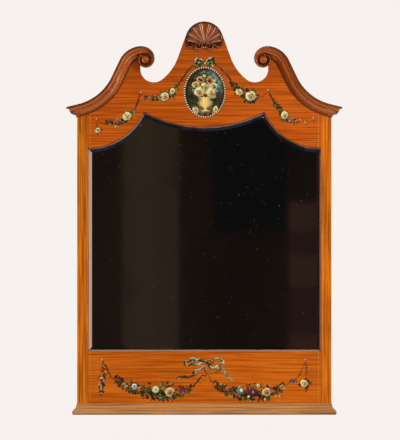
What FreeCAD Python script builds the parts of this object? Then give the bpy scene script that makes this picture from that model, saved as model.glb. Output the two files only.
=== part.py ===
# Wall mirror with a painted satinwood frame: fretted crest board, broken swan-neck
# pediment ending in volutes, carved shell, bevelled plate with a shaped head, moulded
# base, softwood back and two ring hangers.
# Millimetres. X is to the right seen from the front, Y goes back to the wall, Z is up.
# Heights are drawn up from the underside of the frame. The origin of the finished part
# is the centre of the backboard's rear face, which rests on the wall.

import FreeCAD
import Part
import math
import os
from FreeCAD import Vector

# Frame members. A rise is measured up from the shoulders of the opening
FRAME_HALF_WIDTH = 305.0
STILE_WIDTH = 25.0
FRAME_THICKNESS = 20.0
APRON_HEIGHT = 151.4
SHOULDER_HEIGHT = 638.4
SIDE_SWEEP_RADIUS = 150.0
HEAD_LOW_RISE = 51.6
HEAD_SWEEP_RADIUS = 314.0
REBATE_WIDTH = 9.0
REBATE_DEPTH = 12.0

# Tenons of the crest board and the apron rail in the stiles
TENON_LENGTH = 15.0
TENON_THICKNESS = 7.0
CREST_TENON_RISE = 17.0
CREST_TENON_DROP = 25.6
APRON_TENON_MARGIN = 25.0
JOINT_CLEARANCE = 0.1

# Fretted outline of the crest board
TAB_TOP_RISE = 305.0
TAB_RADIUS = 45.6
FLANK_FOOT_SHARE = 0.41
FLANK_FOOT_RISE_SHARE = 0.4
NOTCH_RADIUS = 32.4
NOTCH_DROP = 20.6
NOTCH_SIDE_OFFSET = 12.1
BOARD_INSET = 1.0

# Swan-neck moulding: line of its upper edge
CORNICE_PROJECTION = 25.0
TIP_RISE = 98.6
RAKE_ANGLE = 14.0
RAKE_LENGTH = 30.0
LOWER_SWEEP_SHARE = 0.83
UPPER_SWEEP_SHARE = 0.415
EYE_SHARE = 0.464
EYE_RISE = 211.9
SPIRAL_START_ANGLE = 65.0
SPIRAL_CORE_RADIUS = 16.0
SPIRAL_OPENING = 19.5
SPIRAL_DECAY_ANGLE = 101.0
SPIRAL_END_ANGLE = 345.0

# Swan-neck moulding: its members, from the upper edge down
TOP_FILLET_WIDTH = 4.0
TOP_FILLET_DROP = 1.5
UPPER_COVE_WIDTH = 6.0
UPPER_COVE_DEPTH = 5.5
MIDDLE_FILLET_WIDTH = 1.5
MIDDLE_FILLET_DROP = 1.5
OVOLO_RADIUS = 9.0
LOWER_FILLET_WIDTH = 1.5
LOWER_COVE_RADIUS = 5.0
BOTTOM_FILLET_WIDTH = 2.0
CURVE_FLAT_COUNT = 4

# Volute: width of the winding members at chosen turns, floor and eye
VOLUTE_TURN_ANGLES = (0.0, 25.0, 60.0, 95.0, 150.0, 205.0, 300.0, 345.0)
VOLUTE_WIDTH_SHARES = (1.0, 0.80, 0.66, 0.56, 0.42, 0.35, 0.33, 0.29)
VOLUTE_SECTION_COUNT = 25
VOLUTE_END_HEIGHT_SHARE = 0.88
VOLUTE_FLOOR_INSET = 2.0
VOLUTE_FLOOR_PROJECTION = 10.0
EYE_RADIUS = 9.3
EYE_FLAT_COUNT = 2
EYE_SIDE_COUNT = 24
EYE_LIP_RADIUS = 5.4
EYE_SIDE_PROJECTION = 18.0
EYE_LIP_PROJECTION = 21.0
EYE_DISH_PROJECTION = 19.6
EYE_TOP_PROJECTION = 21.8

# Base moulding
BASE_HEIGHT = 26.4
BASE_PROJECTION = 12.0
BASE_FOOT_HEIGHT = 1.5
BASE_TORUS_HEIGHT = 8.0
BASE_TORUS_BULGE = 1.5
BASE_STEP = 1.5
BASE_TOP_FILLET = 1.5
BASE_TOP_RETURN = 1.5
BASE_COVE_SAG = 1.8
BASE_FLAT_COUNT = 4

# Carved shell. Places are (across, up) from the tab's centre, in shares of the tab's radius,
# as are the radii of the fan
SHELL_EDGE_INSET = 1.2
SHELL_RIM_WIDTH = 3.0
SHELL_PLATE_PROJECTION = 3.2
SHELL_SHOULDER_SHARE = -0.105
SHELL_FOOT_SHARES = (0.79, -0.41)
SHELL_HINGE_SHARES = (0.0, -0.19)
SHELL_HINGE_PROJECTION = 9.0
SHELL_RIDGE_FALL = 3.0
SHELL_FLUTE_DEPTH = 2.4
SHELL_CENTRE_FLUTE_ANGLE = 28.0
SHELL_FLUTE_ANGLE = 21.5
SHELL_SIDE_FLUTE_COUNT = 4
SHELL_FLUTE_FLAT_COUNT = 4
SHELL_STATION_SHARES = (0.04, 0.48, 0.83, 1.18)
SCROLL_SHARES = (0.314, -0.281)
SCROLL_RADIUS_SHARE = 0.281
SCROLL_EYE_SHARE = 0.33
SCROLL_GROOVE_SHARE = 0.44
SCROLL_PROJECTION = 11.0
SCROLL_GROOVE_PROJECTION = 7.0
SCROLL_EDGE_PROJECTION = 5.0
SCROLL_FLAT_COUNT = 2
SCROLL_SIDE_COUNT = 18
CURL_SHARES = (0.735, -0.237)
CURL_SIZE_SHARE = 0.67
BEAD_SHARES = (0.057, -0.377)
BEAD_RADIUS = 2.2
BEAD_PROJECTION = 8.0
BEAD_SIDE_COUNT = 12

# Inlaid stringing
STRING_OFFSET = 6.0
STRING_WIDTH = 1.3
STRING_DEPTH = 1.0
STRING_RUN_UNDER = 8.0

# Mirror plate and its glazing blocks
PLATE_CLEARANCE = 1.0
PLATE_THICKNESS = 5.0
PLATE_EDGE_THICKNESS = 2.0
BEVEL_WIDTH = 18.0
PLATE_SEAT_GAP = 0.2
BLOCK_LENGTH = 32.0
BLOCK_LEG = 7.0
SIDE_BLOCK_SHARES = (0.14, 0.5, 0.86)
SILL_BLOCK_SHARES = (-0.62, 0.0, 0.62)
SWEEP_BLOCK_SHARES = (0.3, 0.7)

# Backboard and its screws
BACKBOARD_THICKNESS = 7.0
BACKBOARD_EDGE_MARGIN = 5.0
BACKBOARD_FOOT_LAP = 12.0
BACKBOARD_HEAD_LAP = 14.4
BACKBOARD_CORNER_RISE = 32.0
BACKBOARD_CORNER_REACH = 25.0
BACKBOARD_CHAMFER = 3.0
BOARD_SCREW_LENGTH = 18.0
BOARD_SCREW_RADIUS = 1.5
BOARD_SCREW_HEAD_RADIUS = 3.0
BOARD_SCREW_HEAD_DEPTH = 2.0
SIDE_SCREW_SHARES = (0.18, 0.5, 0.82)
FOOT_SCREW_SHARES = (-0.8, 0.0, 0.8)
CORNER_SCREW_INSET = 8.0
SCREW_SIDE_COUNT = 8

# Ring hangers
HANGER_SHARE = 0.623
HANGER_GAP = 17.0
STRAP_THICKNESS = 1.2
STRAP_WIDTH = 14.0
STRAP_LENGTH = 46.0
STRAP_SIDE_COUNT = 12
KNUCKLE_WIDTH = 11.0
RING_WIRE_RADIUS = 1.5
RING_WIRE_SIDE_COUNT = 8
RING_BAR_RADIUS = 1.3
RING_CLEARANCE = 0.1
RING_HALF_WIDTH = 11.0
RING_CORNER_RADIUS = 3.0
RING_CORNER_STEP_COUNT = 2
RING_LEG_LENGTH = 5.0
RING_BOW_STEP_COUNT = 8
HANGER_SCREW_DROPS = (25.0, 38.0)
HANGER_SCREW_RADIUS = 1.6
HANGER_SCREW_LENGTH = 13.0
HANGER_SCREW_HEAD_RADIUS = 3.2
HANGER_SCREW_HEAD_HEIGHT = 1.7
HANGER_SCREW_FLAT_COUNT = 2

# One overrun for every cut that passes through, and the distance that counts as none
OVERRUN = 5.0
NO_DISTANCE = 0.000001

# Derived places
FRAME_BACK = -BACKBOARD_THICKNESS
FRAME_FRONT = FRAME_BACK - FRAME_THICKNESS
OPENING_HALF_WIDTH = FRAME_HALF_WIDTH - STILE_WIDTH
REBATE_FLOOR = FRAME_BACK - REBATE_DEPTH
TAB_TOP_HEIGHT = SHOULDER_HEIGHT + TAB_TOP_RISE
TAB_CENTRE = (0.0, TAB_TOP_HEIGHT - TAB_RADIUS)
NECK_WIDTH = (TOP_FILLET_WIDTH + UPPER_COVE_WIDTH + MIDDLE_FILLET_WIDTH + OVOLO_RADIUS
              + LOWER_FILLET_WIDTH + LOWER_COVE_RADIUS + BOTTOM_FILLET_WIDTH)
WINDING_WIDTH = TOP_FILLET_WIDTH + UPPER_COVE_WIDTH + MIDDLE_FILLET_WIDTH + OVOLO_RADIUS
SIDE_SWEEP_CENTRE = (OPENING_HALF_WIDTH, SHOULDER_HEIGHT + SIDE_SWEEP_RADIUS)
HEAD_SWEEP_CENTRE = (0.0, SHOULDER_HEIGHT + HEAD_LOW_RISE + HEAD_SWEEP_RADIUS)
EYE = (FRAME_HALF_WIDTH * EYE_SHARE, SHOULDER_HEIGHT + EYE_RISE)


# Drafting in the plane of the frame: points are (x, height)

def moved(point, direction, distance):
    return (point[0] + direction[0] * distance, point[1] + direction[1] * distance)


def on_circle(centre, radius, degrees):
    angle = math.radians(degrees)
    return (centre[0] + radius * math.cos(angle), centre[1] + radius * math.sin(angle))


def bearing(start, end):
    return math.degrees(math.atan2(end[1] - start[1], end[0] - start[0]))


def circle_meeting(centre_a, radius_a, centre_b, radius_b, side):
    # side +1 or -1 picks the meeting left or right of the line from a to b
    span = math.dist(centre_a, centre_b)
    along = (span ** 2 + radius_a ** 2 - radius_b ** 2) / (2 * span)
    swing = math.degrees(math.acos(along / radius_a))
    return on_circle(centre_a, radius_a, bearing(centre_a, centre_b) + side * swing)


def head_peak(grow):
    # Peak between the middle and the right sweep of the opening, grown by a margin
    return circle_meeting(HEAD_SWEEP_CENTRE, HEAD_SWEEP_RADIUS - grow,
                          SIDE_SWEEP_CENTRE, SIDE_SWEEP_RADIUS - grow, -1)


BACKBOARD_FOOT_HEIGHT = APRON_HEIGHT - REBATE_WIDTH - BACKBOARD_FOOT_LAP
BACKBOARD_HEAD_HEIGHT = head_peak(REBATE_WIDTH)[1] + BACKBOARD_HEAD_LAP
ORIGIN_HEIGHT = (BACKBOARD_FOOT_HEIGHT + BACKBOARD_HEAD_HEIGHT) / 2
HANGER_X = FRAME_HALF_WIDTH * HANGER_SHARE
HANGER_PIVOT_HEIGHT = BACKBOARD_HEAD_HEIGHT + STRAP_LENGTH + HANGER_GAP


def flat(point, depth):
    return Vector(point[0], depth, point[1])


def line(start, end, depth):
    return Part.LineSegment(flat(start, depth), flat(end, depth)).toShape()


def arc(centre, radius, start_angle, end_angle, depth):
    middle = (start_angle + end_angle) / 2
    points = [flat(on_circle(centre, radius, a), depth) for a in (start_angle, middle, end_angle)]
    return Part.Arc(*points).toShape()


def mirrored_edges(edges):
    return [e.mirror(Vector(), Vector(1, 0, 0)) for e in edges]


def prism(edges, front, back):
    # The edges lie in the plane y = front
    face = Part.Face(Part.Wire(Part.__sortEdges__(edges)))
    return face.extrude(Vector(0, back - front, 0))


def quarter(centre, first, last, count):
    # Quarter of an ellipse in straight flats, between two offsets from its centre,
    # without its first point
    points = []
    for i in range(1, count + 1):
        angle = math.radians(90 * i / count)
        points.append(moved(moved(centre, first, math.cos(angle)), last, math.sin(angle)))
    return points


def hollow(start, end, sag, count):
    # Shallow hollow in flats between two points, without its first point
    span = math.dist(start, end)
    inward = ((start[1] - end[1]) / span, (end[0] - start[0]) / span)
    points = []
    for i in range(1, count + 1):
        share = i / count
        straight = (start[0] + (end[0] - start[0]) * share, start[1] + (end[1] - start[1]) * share)
        points.append(moved(straight, inward, 4 * sag * share * (1 - share)))
    return points


def polygon_face(corners):
    distinct = [p for i, p in enumerate(corners) if p.distanceToPoint(corners[i - 1]) > NO_DISTANCE]
    return Part.Face(Part.makePolygon(distinct + distinct[:1]))


def patch_faces(a, b, c, d):
    # One flat face where the four corners lie in a plane, else two
    normal = (b - a).cross(c - a) if a.distanceToPoint(b) > NO_DISTANCE else (c - a).cross(d - a)
    if abs((d - a).dot(normal)) < NO_DISTANCE * normal.Length:
        return [polygon_face([a, b, c, d])]
    return [polygon_face([a, b, c]), polygon_face([a, c, d])]


def skinned(rings):
    # Solid between closed rings of corners with flat faces; a ring may shrink to a point
    faces = [polygon_face(ring) for ring in (rings[0], rings[-1])
             if ring[0].distanceToPoint(ring[1]) > NO_DISTANCE]
    for near, far in zip(rings, rings[1:]):
        for i in range(len(near)):
            faces += patch_faces(near[i - 1], near[i], far[i], far[i - 1])
    solid = Part.Solid(Part.Shell(faces))
    return solid.reversed() if solid.Volume < 0 else solid


def turned(centre, base, outline, side_count):
    # Turned solid in flats. Outline points are (distance from the axis, projection from base)
    rings = [[flat(on_circle(centre, distance, 360 * i / side_count), base - projection)
              for i in range(side_count)] for distance, projection in outline]
    return skinned(rings).removeSplitter()


def block(low, high):
    sides = [high[i] - low[i] for i in range(3)]
    return Part.makeBox(*sides, Vector(*low))


def mirrored(shape):
    return shape.mirror(Vector(), Vector(1, 0, 0))


def save(node, shape):
    placed = shape.copy()
    placed.translate(Vector(0, 0, -ORIGIN_HEIGHT))
    placed.exportStep("parts/" + node + ".step")


# Opening of the frame: straight jambs and sill, head of three sweeps with two peaks

def opening_edges(grow, depth):
    half = OPENING_HALF_WIDTH + grow
    sill = APRON_HEIGHT - grow
    side_radius = SIDE_SWEEP_RADIUS - grow
    head_radius = HEAD_SWEEP_RADIUS - grow
    drop = math.sqrt(side_radius ** 2 - grow ** 2)
    shoulder = (half, SIDE_SWEEP_CENTRE[1] - drop)
    peak = head_peak(grow)
    shoulder_angle = bearing(SIDE_SWEEP_CENTRE, shoulder) % 360
    side_peak_angle = bearing(SIDE_SWEEP_CENTRE, peak) % 360
    head_peak_angle = bearing(HEAD_SWEEP_CENTRE, peak) % 360
    side = [line((half, sill), shoulder, depth),
            arc(SIDE_SWEEP_CENTRE, side_radius, shoulder_angle, side_peak_angle, depth)]
    mirrored_peak_angle = 540 - head_peak_angle
    head = [arc(HEAD_SWEEP_CENTRE, head_radius, head_peak_angle, mirrored_peak_angle, depth)]
    sill_edge = [line((-half, sill), (half, sill), depth)]
    left = mirrored_edges(side)
    return sill_edge + side + head + [left[1], left[0]]


# Swan neck: its upper edge runs from the tip inwards and is named by its heading,
# the angle by which it rises towards the centre line

def across(heading):
    # Unit vector square to the run, on its upper side
    angle = math.radians(heading)
    return (math.sin(angle), math.cos(angle))


def along(heading):
    angle = math.radians(heading)
    return (-math.cos(angle), math.sin(angle))


def spiral_radius(turn):
    return SPIRAL_CORE_RADIUS + SPIRAL_OPENING * math.exp(-turn / SPIRAL_DECAY_ANGLE)


def spiral_lean(turn):
    # Angle by which the spiral closes in on its eye
    shrink = SPIRAL_OPENING * math.exp(-turn / SPIRAL_DECAY_ANGLE) / math.radians(SPIRAL_DECAY_ANGLE)
    return math.degrees(math.atan2(shrink, spiral_radius(turn)))


def spiral_point(turn, inset):
    angle = SPIRAL_START_ANGLE + turn
    edge = on_circle(EYE, spiral_radius(turn), angle)
    return on_circle(edge, inset, angle + spiral_lean(turn) + 180)


TIP = (FRAME_HALF_WIDTH + CORNICE_PROJECTION, SHOULDER_HEIGHT + TIP_RISE)
RAKE_END = moved(TIP, along(RAKE_ANGLE), RAKE_LENGTH)
CROWN_HEADING = 90 - SPIRAL_START_ANGLE - spiral_lean(0)
CROWN = on_circle(EYE, spiral_radius(0), SPIRAL_START_ANGLE)
LOWER_SWEEP_RADIUS = (RAKE_END[0] - CROWN[0]) * LOWER_SWEEP_SHARE
UPPER_SWEEP_RADIUS = (RAKE_END[0] - CROWN[0]) * UPPER_SWEEP_SHARE
LOWER_CENTRE = moved(RAKE_END, across(RAKE_ANGLE), LOWER_SWEEP_RADIUS)
UPPER_CENTRE = moved(CROWN, across(CROWN_HEADING), -UPPER_SWEEP_RADIUS)
SWEEP_SUM = LOWER_SWEEP_RADIUS + UPPER_SWEEP_RADIUS
NECK_STRAIGHT = math.sqrt(math.dist(LOWER_CENTRE, UPPER_CENTRE) ** 2 - SWEEP_SUM ** 2)
NECK_HEADING = (270 - math.degrees(math.atan2(NECK_STRAIGHT, SWEEP_SUM))
                - bearing(LOWER_CENTRE, UPPER_CENTRE) % 360)
NECK_FOOT = moved(LOWER_CENTRE, across(NECK_HEADING), -LOWER_SWEEP_RADIUS)
NECK_HEAD = moved(NECK_FOOT, along(NECK_HEADING), NECK_STRAIGHT)


def rake_height(x):
    return TIP[1] + (TIP[0] - x) * math.tan(math.radians(RAKE_ANGLE))


def spiral_edges(first, last, inset, depth):
    # The spiral in flats, as long as those of the volute
    count = math.ceil(abs(last - first) / SPIRAL_END_ANGLE * VOLUTE_SECTION_COUNT)
    points = [spiral_point(first + (last - first) * i / count, inset) for i in range(count + 1)]
    return [line(a, b, depth) for a, b in zip(points, points[1:])]


def turn_at_x(x, inset):
    # Turn of the winding's underside, between its lowest and outermost points
    low, high = 270 - SPIRAL_START_ANGLE, 360 - SPIRAL_START_ANGLE
    for _ in range(40):
        middle = (low + high) / 2
        if spiral_point(middle, inset)[0] < x:
            low = middle
        else:
            high = middle
    return (low + high) / 2


def pediment_edges(depth):
    # Right half of the board's upper outline, from the centre out to the frame's side
    notch_end = (EYE[0] + NOTCH_SIDE_OFFSET, EYE[1] - NOTCH_DROP)
    notch_centre = (notch_end[0] - NOTCH_RADIUS, notch_end[1])
    foot_reach = notch_centre[0] - NOTCH_RADIUS - TAB_RADIUS
    flank_foot = (TAB_RADIUS + foot_reach * FLANK_FOOT_SHARE,
                  notch_centre[1] + (TAB_CENTRE[1] - notch_centre[1]) * FLANK_FOOT_RISE_SHARE)
    swing = math.degrees(math.acos(TAB_RADIUS / math.dist(TAB_CENTRE, flank_foot)))
    flank_angle = bearing(TAB_CENTRE, flank_foot) + swing
    flank_out = on_circle((0, 0), 1, flank_angle)
    offset = (flank_foot[0] - notch_centre[0], flank_foot[1] - notch_centre[1])
    aside = offset[0] * flank_out[0] + offset[1] * flank_out[1]
    sweep_radius = ((NOTCH_RADIUS ** 2 - offset[0] ** 2 - offset[1] ** 2)
                    / (2 * (aside + NOTCH_RADIUS)))
    sweep_centre = moved(flank_foot, flank_out, sweep_radius)
    meeting_angle = bearing(sweep_centre, notch_centre) % 360
    last_turn = turn_at_x(notch_end[0], BOARD_INSET)
    lobe_foot = spiral_point(last_turn, BOARD_INSET)
    lower = LOWER_SWEEP_RADIUS + BOARD_INSET
    upper = UPPER_SWEEP_RADIUS - BOARD_INSET
    drop = -BOARD_INSET
    side_top = (FRAME_HALF_WIDTH,
                rake_height(FRAME_HALF_WIDTH) - BOARD_INSET / math.cos(math.radians(RAKE_ANGLE)))
    edges = [arc(TAB_CENTRE, TAB_RADIUS, 90, flank_angle, depth),
             line(on_circle(TAB_CENTRE, TAB_RADIUS, flank_angle), flank_foot, depth),
             arc(sweep_centre, sweep_radius, 180 + flank_angle, meeting_angle, depth),
             arc(notch_centre, NOTCH_RADIUS, meeting_angle, 360, depth),
             line(notch_end, lobe_foot, depth)]
    edges += spiral_edges(last_turn, 0, BOARD_INSET, depth)
    edges += [arc(UPPER_CENTRE, upper, 90 - CROWN_HEADING, 90 - NECK_HEADING, depth),
              line(moved(NECK_HEAD, across(NECK_HEADING), drop),
                   moved(NECK_FOOT, across(NECK_HEADING), drop), depth),
              arc(LOWER_CENTRE, lower, 270 - NECK_HEADING, 270 - RAKE_ANGLE, depth),
              line(moved(RAKE_END, across(RAKE_ANGLE), drop), side_top, depth)]
    return edges, side_top


def frame_blank():
    # The whole frame in one, before it is parted into stiles, crest board and apron rail
    half_outline, side_top = pediment_edges(FRAME_FRONT)
    corner = (FRAME_HALF_WIDTH, 0.0)
    half_outline = half_outline + [line(side_top, corner, FRAME_FRONT)]
    foot = [line(corner, (-FRAME_HALF_WIDTH, 0.0), FRAME_FRONT)]
    outline = half_outline + mirrored_edges(half_outline) + foot
    blank = prism(outline, FRAME_FRONT, FRAME_BACK)
    sight = prism(opening_edges(0, FRAME_FRONT - OVERRUN), FRAME_FRONT - OVERRUN, FRAME_BACK + OVERRUN)
    rebate = prism(opening_edges(REBATE_WIDTH, REBATE_FLOOR), REBATE_FLOOR, FRAME_BACK + OVERRUN)
    return blank.cut(sight).cut(rebate)


def tenon(foot, head, clearance):
    middle = (FRAME_FRONT + FRAME_BACK) / 2
    half = TENON_THICKNESS / 2 + clearance
    return block((OPENING_HALF_WIDTH - clearance, middle - half, foot - clearance),
                 (OPENING_HALF_WIDTH + TENON_LENGTH + clearance, middle + half, head + clearance))


def tenons(clearance):
    crest = tenon(SHOULDER_HEIGHT + CREST_TENON_RISE, TIP[1] - CREST_TENON_DROP, clearance)
    apron = tenon(APRON_TENON_MARGIN, APRON_HEIGHT - APRON_TENON_MARGIN, clearance)
    return crest, apron


# Inlaid stringing beside the stile joints

def string_bars():
    x = OPENING_HALF_WIDTH - STRING_OFFSET
    low_x, high_x = x - STRING_WIDTH / 2, x + STRING_WIDTH / 2
    reach = LOWER_SWEEP_RADIUS + NECK_WIDTH
    moulding_foot = LOWER_CENTRE[1] - math.sqrt(reach ** 2 - (LOWER_CENTRE[0] - x) ** 2)
    floor = FRAME_FRONT + STRING_DEPTH
    upper = block((low_x, FRAME_FRONT, SHOULDER_HEIGHT - OVERRUN),
                  (high_x, floor, moulding_foot + STRING_RUN_UNDER))
    lower = block((low_x, FRAME_FRONT, BASE_HEIGHT - STRING_RUN_UNDER),
                  (high_x, floor, APRON_HEIGHT))
    return upper, lower


# Screws

def board_screw(place, length):
    # Countersunk head flush with the backboard's rear face, point towards the front
    return turned(place, 0, [(BOARD_SCREW_HEAD_RADIUS, 0),
                             (BOARD_SCREW_RADIUS, BOARD_SCREW_HEAD_DEPTH),
                             (BOARD_SCREW_RADIUS, length)], SCREW_SIDE_COUNT)


def backboard_corner():
    # Ends of the slope that takes off an upper corner, so that the crest hides it
    return ((head_peak(REBATE_WIDTH)[0] + BACKBOARD_CORNER_REACH, BACKBOARD_HEAD_HEIGHT),
            (FRAME_HALF_WIDTH - BACKBOARD_EDGE_MARGIN, SHOULDER_HEIGHT + BACKBOARD_CORNER_RISE))


def board_screw_places():
    x = (OPENING_HALF_WIDTH + REBATE_WIDTH + FRAME_HALF_WIDTH - BACKBOARD_EDGE_MARGIN) / 2
    foot, head = BACKBOARD_FOOT_HEIGHT, BACKBOARD_HEAD_HEIGHT
    places = []
    for share in SIDE_SCREW_SHARES:
        height = foot + (head - foot) * share
        places += [(x, height), (-x, height)]
    for share in FOOT_SCREW_SHARES:
        places.append((OPENING_HALF_WIDTH * share, foot + BACKBOARD_FOOT_LAP / 2))
    (x_high, high), (x_low, low) = backboard_corner()
    slope = Vector(x_low - x_high, low - high, 0).normalize()
    x = (x_high + x_low) / 2 + slope.y * CORNER_SCREW_INSET
    height = (high + low) / 2 - slope.x * CORNER_SCREW_INSET
    places += [(0, head - BACKBOARD_HEAD_LAP / 2), (x, height), (-x, height)]
    return places


def hanger_screw_places():
    return [(HANGER_X, HANGER_PIVOT_HEIGHT - drop) for drop in HANGER_SCREW_DROPS]


def hanger_shank(place, length):
    # Straight through the strap's front face, and as long behind it as asked
    seat = FRAME_BACK + STRAP_THICKNESS
    return turned(place, seat, [(HANGER_SCREW_RADIUS, -length), (HANGER_SCREW_RADIUS, HANGER_SCREW_LENGTH)],
                  SCREW_SIDE_COUNT)


def hanger_screw(place):
    # Round head on the strap, shank in the crest board
    head = quarter((0, 0), (HANGER_SCREW_HEAD_RADIUS, 0), (0, -HANGER_SCREW_HEAD_HEIGHT),
                   HANGER_SCREW_FLAT_COUNT)
    shank = [(HANGER_SCREW_RADIUS, HANGER_SCREW_LENGTH), (HANGER_SCREW_RADIUS, 0),
             (HANGER_SCREW_HEAD_RADIUS, 0)]
    return turned(place, FRAME_BACK + STRAP_THICKNESS, shank + head, SCREW_SIDE_COUNT)


def pilot_holes():
    # Holes in the frame for every screw, as wide as the shanks
    holes = [board_screw(place, BOARD_SCREW_LENGTH) for place in board_screw_places()]
    for place in hanger_screw_places():
        hole = hanger_shank(place, 0)
        holes += [hole, mirrored(hole)]
    return holes


# Frame members

def frame_members():
    blank = frame_blank()
    top = TAB_TOP_HEIGHT + OVERRUN
    middle = (APRON_HEIGHT + SHOULDER_HEIGHT) / 2
    front, back = FRAME_FRONT - OVERRUN, FRAME_BACK + OVERRUN
    half = OPENING_HALF_WIDTH
    crest = blank.common(block((-half, front, middle), (half, back, top)))
    apron = blank.common(block((-half, front, -OVERRUN), (half, back, middle)))
    stile = blank.common(block((half, front, -OVERRUN), (FRAME_HALF_WIDTH + OVERRUN, back, top)))
    crest_tenon, apron_tenon = tenons(0)
    crest_mortise, apron_mortise = tenons(JOINT_CLEARANCE)
    stile = stile.cut(crest_mortise).cut(apron_mortise)
    upper_bar, lower_bar = string_bars()
    upper_string = upper_bar.common(crest)
    lower_string = lower_bar.common(apron)
    crest = crest.cut(upper_bar).cut(mirrored(upper_bar))
    apron = apron.cut(lower_bar).cut(mirrored(lower_bar))
    crest = crest.fuse([crest_tenon, mirrored(crest_tenon)])
    apron = apron.fuse([apron_tenon, mirrored(apron_tenon)])
    holes = pilot_holes()
    return {"left_stile": mirrored(stile).cut(holes),
            "right_stile": stile.cut(holes),
            "crest_board": crest.cut(holes),
            "apron_rail": apron.cut(holes),
            "upper_left_stringing": mirrored(upper_string),
            "upper_right_stringing": upper_string,
            "apron_left_stringing": mirrored(lower_string),
            "apron_right_stringing": lower_string}


# Swan-neck moulding: profile points are (drop from the upper edge, projection)

def neck_profile():
    fillet = TOP_FILLET_WIDTH
    cove_top = CORNICE_PROJECTION - TOP_FILLET_DROP
    cove_end = fillet + UPPER_COVE_WIDTH
    middle = cove_top - UPPER_COVE_DEPTH
    ovolo_start = cove_end + MIDDLE_FILLET_WIDTH
    ovolo_foot = middle - MIDDLE_FILLET_DROP - OVOLO_RADIUS
    lower_start = ovolo_start + OVOLO_RADIUS + LOWER_FILLET_WIDTH
    lower_end = lower_start + LOWER_COVE_RADIUS
    lower_foot = ovolo_foot - LOWER_COVE_RADIUS
    upper_cove = quarter((cove_end, cove_top), (-UPPER_COVE_WIDTH, 0), (0, -UPPER_COVE_DEPTH),
                         CURVE_FLAT_COUNT)
    ovolo = quarter((ovolo_start, ovolo_foot), (0, OVOLO_RADIUS), (OVOLO_RADIUS, 0), CURVE_FLAT_COUNT)
    lower_cove = quarter((lower_end, ovolo_foot), (-LOWER_COVE_RADIUS, 0),
                         (0, -LOWER_COVE_RADIUS), CURVE_FLAT_COUNT)
    winding = [(0, 0), (0, CORNICE_PROJECTION), (fillet, CORNICE_PROJECTION), (fillet, cove_top)]
    winding += upper_cove
    winding += [(ovolo_start, middle), (ovolo_start, ovolo_foot + OVOLO_RADIUS)]
    winding += ovolo
    lower = [(lower_start, ovolo_foot)] + lower_cove
    lower += [(NECK_WIDTH, lower_foot), (NECK_WIDTH, 0)]
    return winding, lower


def profile_corners(profile, station, inward, width_scale, height_scale):
    return [flat(moved(station, inward, drop * width_scale), FRAME_FRONT - projection * height_scale)
            for drop, projection in profile]


def profile_face(profile, station, inward):
    return polygon_face(profile_corners(profile, station, inward, 1, 1))


def inward_of(heading):
    out = across(heading)
    return (-out[0], -out[1])


def share_at(turn):
    for i in range(len(VOLUTE_TURN_ANGLES) - 1):
        first, last = VOLUTE_TURN_ANGLES[i], VOLUTE_TURN_ANGLES[i + 1]
        if turn <= last:
            blend = (turn - first) / (last - first)
            ease = blend * blend * (3 - 2 * blend)
            low, high = VOLUTE_WIDTH_SHARES[i], VOLUTE_WIDTH_SHARES[i + 1]
            return low + (high - low) * ease
    return VOLUTE_WIDTH_SHARES[-1]


def volute():
    winding, _ = neck_profile()
    profile = winding + [(WINDING_WIDTH, 0)]
    wires = []
    rim = []
    for i in range(VOLUTE_SECTION_COUNT):
        progress = i / (VOLUTE_SECTION_COUNT - 1)
        turn = SPIRAL_END_ANGLE * progress
        inward = on_circle((0, 0), 1, SPIRAL_START_ANGLE + turn + spiral_lean(turn) + 180)
        height = 1 + (VOLUTE_END_HEIGHT_SHARE - 1) * progress
        corners = profile_corners(profile, spiral_point(turn, 0), inward, share_at(turn), height)
        wires.append(Part.makePolygon(corners + corners[:1]))
        rim.append(flat(spiral_point(turn, VOLUTE_FLOOR_INSET), FRAME_FRONT))
    floor = polygon_face(rim).extrude(Vector(0, -VOLUTE_FLOOR_PROJECTION, 0))
    return Part.makeLoft(wires, True, True), floor, volute_eye()


def volute_eye():
    lip = quarter((EYE_LIP_RADIUS, EYE_SIDE_PROJECTION), (EYE_RADIUS - EYE_LIP_RADIUS, 0),
                  (0, EYE_LIP_PROJECTION - EYE_SIDE_PROJECTION), EYE_FLAT_COUNT)
    cap = quarter((0, EYE_DISH_PROJECTION), (EYE_LIP_RADIUS, 0),
                  (0, EYE_TOP_PROJECTION - EYE_DISH_PROJECTION), EYE_FLAT_COUNT)
    side = [(EYE_RADIUS, 0), (EYE_RADIUS, EYE_SIDE_PROJECTION)]
    outline = side + lip + [(EYE_LIP_RADIUS, EYE_DISH_PROJECTION)] + cap
    return turned(EYE, FRAME_FRONT, outline, EYE_SIDE_COUNT)


def mitre_cutter(low_height, high_height):
    # Takes away all that lies beyond the 45 degree plane through the frame's front corner
    reach = CORNICE_PROJECTION + OVERRUN
    corner = Vector(FRAME_HALF_WIDTH - OVERRUN, FRAME_FRONT + OVERRUN, low_height)
    far = Vector(FRAME_HALF_WIDTH + reach, FRAME_FRONT - reach, low_height)
    side = Vector(FRAME_HALF_WIDTH + reach, FRAME_FRONT + OVERRUN, low_height)
    outline = Part.makePolygon([corner, far, side, corner])
    return Part.Face(outline).extrude(Vector(0, 0, high_height - low_height))


def mitre_faces(shape):
    return [f for f in shape.Faces
            if isinstance(f.Surface, Part.Plane)
            and abs(abs(f.Surface.Axis.x) - abs(f.Surface.Axis.y)) < NO_DISTANCE
            and abs(f.Surface.Axis.z) < NO_DISTANCE
            and abs(f.CenterOfMass.x + f.CenterOfMass.y - FRAME_HALF_WIDTH - FRAME_FRONT) < NO_DISTANCE]


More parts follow.
